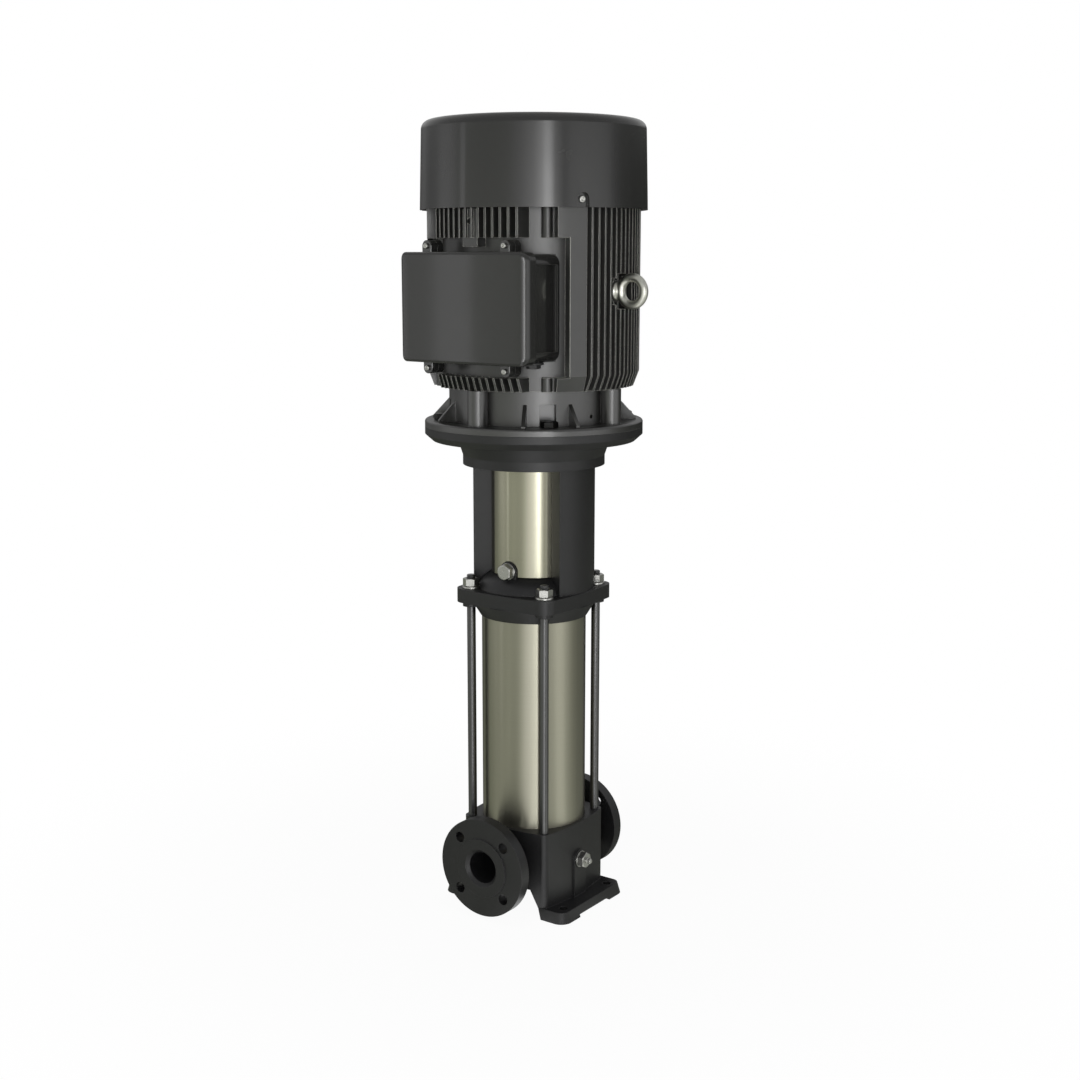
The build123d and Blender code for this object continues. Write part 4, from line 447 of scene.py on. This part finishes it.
# %% Plated and turned steel
def plated(name, colour, dark_colour, roughness, cloud_mm, edge_mm=0.35, fine_mm=0.8):
    """Plated steel: two shades mixed by a cloudy noise, with roughness following the same clouds."""
    made, tree = new_material(name)
    place = add(tree, "ShaderNodeTexCoord").outputs["Object"]
    cloud = add(tree, "ShaderNodeTexNoise", {"Scale": 1 / (cloud_mm * mm), "Detail": 4.0},
                {"Vector": place})
    fine = add(tree, "ShaderNodeTexNoise", {"Scale": 1 / (fine_mm * mm), "Detail": 2.0}, {"Vector": place})
    tone = add(tree, "ShaderNodeMix", {"data_type": "RGBA", 6: linear(dark_colour), 7: linear(colour)},
               {0: cloud.outputs["Fac"]})
    gloss = add(tree, "ShaderNodeMapRange", {"To Min": roughness + 0.1, "To Max": roughness - 0.06},
                {"Value": cloud.outputs["Fac"]})
    edge = add(tree, "ShaderNodeBevel", {"samples": 4, "Radius": edge_mm * mm})
    ripple = add(tree, "ShaderNodeBump", {"Strength": 0.2, "Distance": 0.04 * mm},
                 {"Height": fine.outputs["Fac"], "Normal": edge.outputs[0]})
    skin = add(tree, "ShaderNodeBsdfPrincipled", {"Metallic": 1.0},
               {"Base Color": tone.outputs[2], "Roughness": gloss.outputs[0], "Normal": ripple.outputs[0]})
    add(tree, "ShaderNodeOutputMaterial", None, {"Surface": skin.outputs[0]})
    return made


zinc = plated("zinc plated steel", "#C2C2BE", "#A2A29E", 0.27, cloud_mm=5)
forged_zinc = plated("zinc plated forging", "#D9D9D0", "#AEAEA6", 0.34, cloud_mm=9, edge_mm=0.8)
rod_steel = brushed("drawn steel rod", "#6E6E6E", "#5A5A5A", 0.36, line_mm=1.2, run_mm=4)
turned_steel = brushed("turned steel", "#8E8E8E", "#777777", 0.30, line_mm=0.4, run_mm=30)
dark_screws = plated("black oxide steel", "#2C2C2B", "#1E1E1E", 0.36, cloud_mm=5)
print("steels:", zinc.name, forged_zinc.name, rod_steel.name, turned_steel.name, dark_screws.name, sep=", ")

# %% [markdown]
# ## Rubber, plastics, carbon, copper and laminations
# Few of these show from outside, but each still has its own make-up. Moulded pieces carry the fine spark
# texture of their mould, rubber has a dull bloom, copper is wound and varnished, and a motor core is a
# stack of thin sheets, seen as fine lines round it. The real sheets are half a millimetre thick, and the
# lines are drawn three times as coarse, so that they show.

# %% Moulded and layered materials
def moulded(name, colour, roughness, grain_mm, depth_mm, shine=0.5, drift_mm=25, edge_mm=0.5):
    """Moulded plastic, rubber or carbon: one colour with a drift, and the fine grain of the mould as a
    bump."""
    made, tree = new_material(name)
    place = add(tree, "ShaderNodeTexCoord").outputs["Object"]
    grain = add(tree, "ShaderNodeTexNoise", {"Scale": 1 / (grain_mm * mm), "Detail": 2.0},
                {"Vector": place})
    slow = add(tree, "ShaderNodeTexNoise", {"Scale": 1 / (drift_mm * mm), "Detail": 2.0}, {"Vector": place})
    drift = add(tree, "ShaderNodeHueSaturation", {"Color": linear(colour)},
                {"Value": add(tree, "ShaderNodeMapRange", {"To Min": 0.8, "To Max": 1.25},
                              {"Value": slow.outputs["Fac"]}).outputs[0]})
    gloss = add(tree, "ShaderNodeMapRange", {"To Min": roughness - 0.05, "To Max": roughness + 0.08},
                {"Value": slow.outputs["Fac"]})
    edge = add(tree, "ShaderNodeBevel", {"samples": 4, "Radius": edge_mm * mm})
    bump = add(tree, "ShaderNodeBump", {"Strength": 0.5, "Distance": depth_mm * mm},
               {"Height": grain.outputs["Fac"], "Normal": edge.outputs[0]})
    skin = add(tree, "ShaderNodeBsdfPrincipled", {"IOR": 1.48, "Specular IOR Level": shine},
               {"Base Color": drift.outputs[0], "Roughness": gloss.outputs[0], "Normal": bump.outputs[0]})
    add(tree, "ShaderNodeOutputMaterial", None, {"Surface": skin.outputs[0]})
    return made


def layered(name, colour, dark_colour, pitch_mm, roughness):
    """Sheets or wires side by side: a band wave along Z. A wave repeats every pi / (10 Scale) metres, and
    half of it, a pale or a dark band, is one sheet or one turn of wire."""
    made, tree = new_material(name)
    place = add(tree, "ShaderNodeTexCoord").outputs["Object"]
    wave = add(tree, "ShaderNodeTexWave",
               {"bands_direction": "Z", "Scale": pi / (10 * pitch_mm * mm) / 2, "Distortion": 0.4,
                "Detail": 1.0}, {"Vector": place})
    tone = add(tree, "ShaderNodeMix", {"data_type": "RGBA", 6: linear(dark_colour), 7: linear(colour)},
               {0: wave.outputs["Fac"]})
    bump = add(tree, "ShaderNodeBump", {"Strength": 0.5, "Distance": 0.2 * pitch_mm * mm},
               {"Height": wave.outputs["Fac"]})
    skin = add(tree, "ShaderNodeBsdfPrincipled", {"Metallic": 1.0, "Roughness": roughness},
               {"Base Color": tone.outputs[2], "Normal": bump.outputs[0]})
    add(tree, "ShaderNodeOutputMaterial", None, {"Surface": skin.outputs[0]})
    return made


black_rubber = moulded("nitrile rubber", "#151515", 0.62, grain_mm=0.5, depth_mm=0.02, shine=0.3)
black_plastic = moulded("moulded polyamide", "#1C1C1D", 0.42, grain_mm=0.7, depth_mm=0.03)
carbon = moulded("sintered carbon", "#3A3A3C", 0.38, grain_mm=0.3, depth_mm=0.01)
copper = layered("varnished copper wire", "#B0683A", "#5E3218", pitch_mm=1.6, roughness=0.35)
core_sheets = layered("stacked core sheets", "#5C5C5E", "#39393B", pitch_mm=1.5, roughness=0.45)
print("moulded:", black_rubber.name, black_plastic.name, carbon.name, sep=", ")
print("layered:", copper.name, "and", core_sheets.name)

# %% [markdown]
# ## Dressing the frame
# Every node in the frame already knows its material slot, so a table from slot to finish dresses them all.
# A few nodes share a slot but have a look of their own, and a second table names those.

# %% Assign the finishes
finish_of_slot = {
    "pump_iron": pump_iron, "motor_enamel": motor_enamel, "motor_cast": motor_cast,
    "stainless": inner_steel, "rod_steel": rod_steel, "zinc_steel": zinc, "bare_steel": turned_steel,
    "rubber": black_rubber, "plastic": black_plastic, "ceramic": carbon, "copper": copper,
    "lamination": core_sheets,
}
finish_of_node = {
    "stator_housing": housing_cast, "outer_sleeve": sleeve_steel, "coupling_guard_front": guard_steel,
    "coupling_guard_back": guard_steel, "eyebolt": forged_zinc,
}
slot_of_node = {entry["node"]: entry["material_slot"] for entry in frame["record"]["subparts"]}
for name, piece in nodes.items():
    finish = finish_of_node.get(name) or finish_of_slot[slot_of_node[name]]
    piece.data.materials.clear()
    piece.data.materials.append(finish)
print("finishes used:", len({piece.data.materials[0].name for piece in nodes.values()}))

# %% [markdown]
# ## Turned pieces and hexagons
# Plugs, nuts and screws all start as bar or wire in a lathe or a heading die. A lathe shape is one profile
# turned about an axis, so it could be spun with a modifier, but a formula is shorter and gives more. Here
# the profile is a list of radii and heights in millimetres, and a hexagon only holds the radius back to its
# flats. Where a turned chamfer and the flats meet, that minimum draws the curved arcs seen on every real
# nut, for nothing.

# %% Grids of points
turn_steps, thread_steps = 72, 48
no_flats = 1000.0
fade_turns = 0.75


def divided(profile, parts):
    """Points along a profile: each straight run is shared into equal parts, corner + (next - corner) k /
    parts."""
    corners = np.asarray(profile, float)
    share = (np.arange(parts) / parts)[:, None]
    runs = corners[:-1, None] + (corners[1:] - corners[:-1])[:, None] * share
    return np.vstack([runs.reshape(-1, corners.shape[1]), corners[-1:]])


def turned(profile, parts=3, steps=turn_steps):
    """Rings of (r cos a, r sin a, z). A row of the profile is (r, z) where it is round, or (r, z, apothem)
    where r never passes the flats of a hexagon: apothem / cos(angle from the middle of the nearest flat)."""
    rows = [(*row, no_flats)[:3] for row in profile]
    radius, height, apothem = divided(rows, parts).T[:, :, None]
    angle = np.linspace(0, 2 * pi, steps, endpoint=False)[None, :]
    flats = apothem / np.cos((angle + pi / 6) % (pi / 3) - pi / 6)
    held = np.minimum(radius, flats)
    return np.stack([held * np.cos(angle), held * np.sin(angle), height + 0 * held], -1)


def threaded(radius, start, end, pitch, depth, rows_per_turn=8):
    """A screw thread: r = radius - depth * triangle(z / pitch - angle / full turn), which fades out over
    fade_turns at both ends."""
    height = np.linspace(start, end, int((end - start) / pitch * rows_per_turn) + 1)[:, None]
    angle = np.linspace(0, 2 * pi, thread_steps, endpoint=False)[None, :]
    phase = (height / pitch - angle / (2 * pi)) % 1.0
    fade = np.clip(np.minimum(height - start, end - height) / (fade_turns * pitch), 0, 1)
    held = radius - depth * fade * np.abs(2 * phase - 1)
    return np.stack([held * np.cos(angle), held * np.sin(angle), height + 0 * held], -1)


def capped(grid):
    """Close both ends of a grid of rings with a point on its axis: the mean of the first and of the last
    ring."""
    foot, top = grid[:1].mean(1, keepdims=True), grid[-1:].mean(1, keepdims=True)
    shape = grid[:1].shape
    return np.vstack([np.broadcast_to(foot, shape), grid, np.broadcast_to(top, shape)])


def stand(grid, place, way=(0, 0, 1)):
    """Move a grid so that its Z runs along `way` from `place`: place + x * side + y * (way x side) + z *
    way. The side is level, or along X where the way is upright."""
    way = np.asarray(way, float)
    side = np.cross((0, 1, 0) if abs(way[2]) > 0.9 else (0, 0, 1), way)
    side = side / np.linalg.norm(side)
    return np.asarray(place, float) + grid @ np.stack([side, np.cross(way, side), way])


print("a ring has", turn_steps, "points, one every", 360 / turn_steps, "degrees")

# %% [markdown]
# A grid becomes a mesh by joining each point to its neighbours, row by row, with the last column joined to
# the first. Rows at a pole fall on one point, and the merge turns their squares into triangles, so every
# piece ends up closed. Edges sharper than thirty degrees stay sharp, the rest are shaded smooth.

# %% From grids to a piece
same_point, no_length = 1e-6, 1e-7
sharp_angle = radians(30)


def piece_from(name, grids, body, node, finish):
    """One mesh from grids in millimetres, riding on a body in place of a plain node of the frame."""
    points, squares, first = [], [], 0
    for grid in grids:
        number = first + np.arange(grid.shape[0] * grid.shape[1]).reshape(grid.shape[:2])
        beside = np.roll(number, -1, axis=1)
        squares.append(np.stack([number[:-1], beside[:-1], beside[1:], number[1:]], -1).reshape(-1, 4))
        points.append(grid.reshape(-1, 3))
        first += points[-1].shape[0]
    mesh = bpy.data.meshes.new(name)
    mesh.from_pydata((np.vstack(points) * mm).tolist(), [], np.vstack(squares).tolist())
    work = bmesh.new()
    work.from_mesh(mesh)
    bmesh.ops.remove_doubles(work, verts=work.verts, dist=same_point)
    bmesh.ops.dissolve_degenerate(work, edges=work.edges, dist=no_length)
    bmesh.ops.recalc_face_normals(work, faces=work.faces)
    work.to_mesh(mesh)
    work.free()
    mesh.shade_smooth()
    mesh.set_sharp_from_angle(angle=sharp_angle)
    mesh.materials.append(finish)
    piece = bpy.data.objects.new(name, mesh)
    bpy.context.scene.collection.objects.link(piece)
    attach(piece, body)
    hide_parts(node)
    print(name, "has", len(mesh.polygons), "faces")


# %% [markdown]
# ## Stay bolts, washers and nuts
# Four long bolts clamp the head, the sleeve and the base together. Each is a drawn rod with a rolled thread,
# and the nut stands on a stamped washer whose upper edge is rounded and whose lower edge is sharp. The last
# turns of thread show above the nut, so they are real geometry: a helix, not a stack of rings.

# %% Stay bolts
stay_half = 74.5
stay_places = [(x, y) for x in (-stay_half, stay_half) for y in (-stay_half, stay_half)]
stay_r, stay_foot, plate_top, stay_top, stay_tip = 7.25, 109.0, 541.0, 563.0, 1.2
rod = turned([(0, stay_foot), (6.0, stay_foot), (stay_r, stay_foot + stay_tip), (stay_r, plate_top)],
             parts=2, steps=thread_steps)
rod_thread = threaded(stay_r, plate_top, stay_top - stay_tip, pitch=2.0, depth=0.95)
rod_tip = turned([(stay_r - 0.1, stay_top - stay_tip), (6.1, stay_top), (0, stay_top)],
                 parts=2, steps=thread_steps)
whole_rod = np.vstack([rod, rod_thread, rod_tip])
piece_from("stay_bolts_threaded", [stand(whole_rod, (x, y, 0)) for x, y in stay_places],
           "frame", "stay_bolts", rod_steel)

# %% Stay washers
bore_r, washer_r, washer_t = 7.3, 15.0, 3.0
washer = turned([(bore_r, 0.3), (bore_r + 0.3, 0), (washer_r, 0), (washer_r, 2.2), (14.7, 2.8),
                 (14.2, washer_t), (bore_r + 0.9, washer_t), (bore_r, 2.4), (bore_r, 0.3)], parts=1)
piece_from("stay_washers_stamped", [stand(washer, (x, y, plate_top)) for x, y in stay_places],
           "frame", "stay_washers", zinc)

# %% Stay nuts
nut_h, nut_flats, nut_corner, nut_face, chamfer_h = 13.0, 12.0, 13.9, 11.6, 1.33
mouth_r, mouth_h = 8.2, 0.9
nut = turned([(bore_r, mouth_h), (mouth_r, 0), (nut_face, 0, nut_flats), (nut_corner, chamfer_h, nut_flats),
              (nut_corner, nut_h - chamfer_h, nut_flats), (nut_face, nut_h, nut_flats), (mouth_r, nut_h),
              (bore_r, nut_h - mouth_h), (bore_r, mouth_h)], parts=4)
piece_from("stay_nuts_chamfered", [stand(nut, (x, y, plate_top + washer_t)) for x, y in stay_places],
           "frame", "stay_nuts", zinc)

# %% [markdown]
# ## The two plugs
# Before its first start a pump is filled through the priming plug and vented, and before frost it is emptied
# through the drain plug. Both have a hexagon head on a turned collar that presses a seal, and a threaded
# shank, which comes into view when the plug is screwed out. The drain plug also has a small vent nipple.

# %% Hexagon heads and plug bodies
def hexagon_head(flats, foot, height):
    """A forged head: a hexagon whose top is turned to a chamfer of nearly 30 degrees, with its corners 15
    percent past its flats."""
    corner = flats / cos(pi / 6)
    face = 0.94 * flats
    drop = (corner - face) * 0.55
    top = foot + height
    return turned([(0, foot, flats), (0.97 * flats, foot, flats), (corner, foot + 0.6, flats),
                   (corner, top - drop, flats), (face, top, flats), (0.6 * flats, top, flats),
                   (0, top, flats)], parts=5)


def plug_body(shank_r, shank_l, pitch, collar_r, collar_t):
    """A turned collar with rounded edges in front of a threaded shank, as two closed grids. The thread is
    0.6 of its pitch deep."""
    shank = capped(threaded(shank_r, -shank_l, 0.0, pitch, 0.6 * pitch))
    collar = turned([(0, 0), (collar_r - 0.4, 0), (collar_r, 0.4), (collar_r, collar_t - 0.5),
                     (collar_r - 0.5, collar_t), (0, collar_t)], parts=2)
    return [shank, collar]


plug_flats, plug_head_h, collar_r, collar_t = 12.0, 11.0, 14.0, 2.0
print("a plug's corners stand", round(plug_flats / cos(pi / 6), 2), "mm from its axis")

# %% Priming plug
priming_place, priming_way = (0, -72, 576), (0, -1, 0)
priming_grids = [*plug_body(shank_r=10.4, shank_l=14.0, pitch=1.8, collar_r=collar_r, collar_t=collar_t),
                 hexagon_head(plug_flats, collar_t, plug_head_h)]
piece_from("priming_plug_hexagon", [stand(g, priming_place, priming_way) for g in priming_grids],
           "priming_plug", "priming_plug", zinc)

# %% Drain plug
drain_place, drain_way = (97, 0, 81), (1, 0, 0)
nipple_foot = collar_t + plug_head_h
nipple_rows = ((0, 0), (5.0, 0), (5.0, 2.0), (3.6, 3.2), (3.6, 4.6), (4.8, 5.6), (4.8, 7.0), (2.6, 9.0),
               (0, 9.0))
nipple = turned([(r, nipple_foot + z) for r, z in nipple_rows], parts=2)
drain_grids = [*plug_body(shank_r=8.0, shank_l=13.0, pitch=1.5, collar_r=collar_r, collar_t=collar_t),
               hexagon_head(plug_flats, collar_t, plug_head_h), nipple]
piece_from("drain_plug_nipple", [stand(g, drain_place, drain_way) for g in drain_grids],
           "drain_plug", "drain_plug", zinc)

# %% [markdown]
# ## The lifting eyebolt
# An eyebolt is drop forged: a hot bar is pressed into a ring that grows out of a thick collar, so the ring
# is not the same all round. A torus would look like wire. This ring is swept with a wire that swells
# towards the root, and the neck below it is one smooth turned curve.

# %% Eyebolt
def forged_ring(centre_r, wire_r, swell, spread, steps=96, around=32):
    """A ring round Y whose wire radius is wire_r + swell * exp(-(angle from the root / spread)^2)."""
    way = np.linspace(0, 2 * pi, steps, endpoint=False)[:, None]
    from_root = np.abs((way + pi) % (2 * pi) - pi)
    wire = wire_r + swell * np.exp(-(from_root / spread) ** 2)
    turn = np.linspace(0, 2 * pi, around, endpoint=False)[None, :]
    reach = centre_r + wire * np.cos(turn)
    ring = np.stack([-reach * np.cos(way), wire * np.sin(turn), reach * np.sin(way)], -1)
    return np.vstack([ring, ring[:1]])


eye_seat, eye_height, eye_reach = 158.0, 1028.0, 29.5
eye_place, eye_way = (eye_seat, 0, eye_height), (1, 0, 0)
eye_centre = np.array([eye_seat + eye_reach, 0, eye_height])
ring = forged_ring(centre_r=21.0, wire_r=6.8, swell=1.6, spread=0.55) + eye_centre
collar = turned([(0, 0), (14.4, 0), (15.0, 0.6), (14.6, 3.0), (13.0, 5.0), (10.4, 6.4), (8.8, 8.0),
                 (7.6, 10.5), (0, 11.5)], parts=3)
eye_thread = capped(threaded(6.0, -20.0, 0.0, pitch=1.75, depth=1.0))
piece_from("eyebolt_forged", [ring, stand(collar, eye_place, eye_way), stand(eye_thread, eye_place, eye_way)],
           "frame", "eyebolt", forged_zinc)

# %% [markdown]
# ## Small screws
# The lid and the fan cover are held by socket screws. A socket is a hexagon going inwards, so the same
# minimum makes it: from the rim of the recess down to its floor the profile is held back to small flats.
# The motor stands on four plain hexagon bolts, blackened against rust.

# %% Lid and cover screws
def socket_screw(head_r, head_h, shank_r, shank_l, dome):
    """Head, socket and shank in one profile, from the shank's end up over the head and down into the
    socket, whose flats are 0.48 of the head's radius from the axis."""
    key = 0.48 * head_r
    return turned([(0, -shank_l), (0.8 * shank_r, -shank_l), (shank_r, -shank_l + 0.3 * shank_r),
                   (shank_r, 0), (head_r - 0.2, 0), (head_r, 0.2), (head_r, head_h - dome),
                   (0.88 * head_r, head_h - 0.3 * dome), (0.72 * head_r, head_h), (1.2 * key, head_h),
                   (1.15 * key, head_h - 0.1, key), (1.15 * key, 0.45 * head_h, key),
                   (0, 0.35 * head_h, key)], parts=2)


lid_screw = socket_screw(head_r=4.2, head_h=4.0, shank_r=3.0, shank_l=32.0, dome=0.6)
lid_places = [(x, -179, z) for x in (-75, 75) for z in (910, 1097)]
piece_from("lid_screws_socket", [stand(lid_screw, place, (0, -1, 0)) for place in lid_places],
           "frame", "lid_screws", zinc)

cover_screw = socket_screw(head_r=5.5, head_h=3.5, shank_r=3.0, shank_l=7.5, dome=1.8)
cover_seat, cover_screw_z = 175.0, 1165.7
cover_ways = [(cos(radians(a)), sin(radians(a)), 0) for a in (-30, 30, 150, 210)]
piece_from("cover_screws_socket", [stand(cover_screw, (cover_seat * x, cover_seat * y, cover_screw_z),
                                         (x, y, z)) for x, y, z in cover_ways],
           "frame", "fan_cover_screws", zinc)

# %% Motor flange bolts
flange_bolt = [capped(threaded(8.0, -30.0, 0.0, pitch=2.0, depth=1.1)),
               hexagon_head(flats=12.0, foot=0.0, height=10.0)]
bolt_circle, bolt_seat, first_bolt = 150.0, 821.0, radians(45)
bolt_angles = first_bolt + pi / 2 * np.arange(4)
bolt_places = [(bolt_circle * cos(a), bolt_circle * sin(a), bolt_seat) for a in bolt_angles]
piece_from("flange_bolts_hexagon", [stand(g, place) for place in bolt_places for g in flange_bolt],
           "frame", "motor_flange_bolts", dark_screws)

# %% [markdown]
# ## Blanking plugs
# The unused cable entries of the terminal box are closed by moulded plugs: a flange against the box, and a
# low hexagon for a spanner, dished in the middle so that the moulding cools evenly.

# %% Cable entry plugs
entry_flats = 10.0
entry_places = [(x, -137, 922) for x in (-98, 98)]
entry_flange = turned([(0, -5.0), (11.6, -5.0), (12.5, -4.0), (12.5, 0), (15.6, 0), (16.0, 0.4),
                       (16.0, 2.2), (15.2, 3.0), (0, 3.0)], parts=2)
entry_rows = ((0, 3.0), (11.5, 3.0), (11.5, 8.0), (9.9, 9.0), (7.2, 9.0), (6.4, 7.6), (0, 7.2))
entry_head = turned([(r, z, entry_flats) for r, z in entry_rows], parts=4)
piece_from("entry_plugs_moulded",
           [stand(g, place, (0, 0, -1)) for place in entry_places for g in (entry_flange, entry_head)],
           "frame", "cable_plugs", black_plastic)

# %% [markdown]
# ## The lid of the terminal box
# The lid is a die casting, drawn like a deep tray: its front is crowned by a few millimetres so that it does
# not look hollow, its upright edges are rounded generously for the hand and its long edges only a little.
# Rounding a block with a modifier gives every edge the same radius. Here one outline runs round the lid with
# its normals, and the radius of the edge is a blend along it, so the corners grow from one into the other.

# %% Lid outline and shell
def rounded_outline(half_w, half_h, corner_r, arc=8, run=14):
    """Points and outward normals round a rectangle with round corners: corner centre + corner_r (cos a,
    sin a), then equal steps along the straight run to the next corner, where the normal stays as it is."""
    angle = pi / 2 * (np.arange(4)[:, None] + np.arange(arc + 1) / arc)
    normal = np.stack([np.cos(angle), np.sin(angle)], -1)
    side = np.array([(1, 1), (-1, 1), (-1, -1), (1, -1)]) * (half_w - corner_r, half_h - corner_r)
    corner = side[:, None] + corner_r * normal
    share = (np.arange(1, run) / run)[:, None]
    straight = corner[:, -1:] + (np.roll(corner[:, :1], -1, axis=0) - corner[:, -1:]) * share
    same = np.broadcast_to(normal[:, -1:], straight.shape)
    return (np.concatenate([corner, straight], axis=1).reshape(-1, 2),
            np.concatenate([normal, same], axis=1).reshape(-1, 2))


def at_depth(flat, depth):
    """Points (x, z) of an outline, stood up at a distance `depth` in front of the shaft: (x, -depth, z)."""
    return np.stack([flat[:, 0], -depth + 0 * flat[:, 0], flat[:, 1]], -1)


def crowned_lid(half_w, half_h, corner_r, front, back, crown, upright_edge, long_edge, wall,
                inside_rows=7, edge_rows=9, front_rows=13):
    """Outline point - normal * edge (1 - cos t), lowered by edge (1 - sin t), where edge = upright_edge *
    nx^2 + long_edge * nz^2. The front is front - crown (x / half_w)^2. The inside is the same tray, one wall
    smaller."""
    outline, normal = rounded_outline(half_w, half_h, corner_r)
    edge = (normal ** 2) @ np.array([upright_edge, long_edge])

    def crowned(flat, lowered):
        return at_depth(flat, front - crown * (flat[:, 0] / half_w) ** 2 - lowered)

    inner = outline - normal * wall
    rows = [crowned(inner * share, wall) for share in np.linspace(0, 1, inside_rows)]
    rows += [at_depth(inner, back), at_depth(outline, back)]
    for turn in np.linspace(0, pi / 2, edge_rows):
        inset = edge * (1 - cos(turn))
        rows.append(crowned(outline - normal * inset[:, None], edge * (1 - sin(turn))))
    rim = outline - normal * edge[:, None]
    rows += [crowned(rim * share, 0) for share in np.linspace(1, 0, front_rows)[1:]]
    return np.stack(rows)


def lug(half_w, half_h, front, back, bevel):
    """A stadium shaped ear: its outline from back to front, drawn in by the bevel at the front. The round
    ends are a hair short of the half width, so that each keeps a straight run between its corners."""
    outline, normal = rounded_outline(half_w, half_h, half_w - 0.01, run=4)
    levels = ((0, back, 0), (1, back, 0), (1, front - bevel, 0), (1, front, bevel), (0, front, bevel))
    return np.stack([at_depth((outline - normal * cut) * share, depth) for share, depth, cut in levels])


lid_middle = np.array([0, 0, 1003.5])
lid_shell = crowned_lid(half_w=123.0, half_h=84.5, corner_r=14.0, front=195.0, back=165.0, crown=4.0,
                        upright_edge=13.5, long_edge=4.5, wall=4.0)
lid_lug = lug(half_w=9.0, half_h=15.25, front=179.0, back=165.0, bevel=0.8)
lug_grids = [lid_lug + lid_middle + np.array([x, 0, z]) for x in (-75, 75) for z in (-87.25, 87.25)]
piece_from("terminal_lid_crowned", [lid_shell + lid_middle, *lug_grids],
           "frame", "terminal_box_lid", motor_enamel)
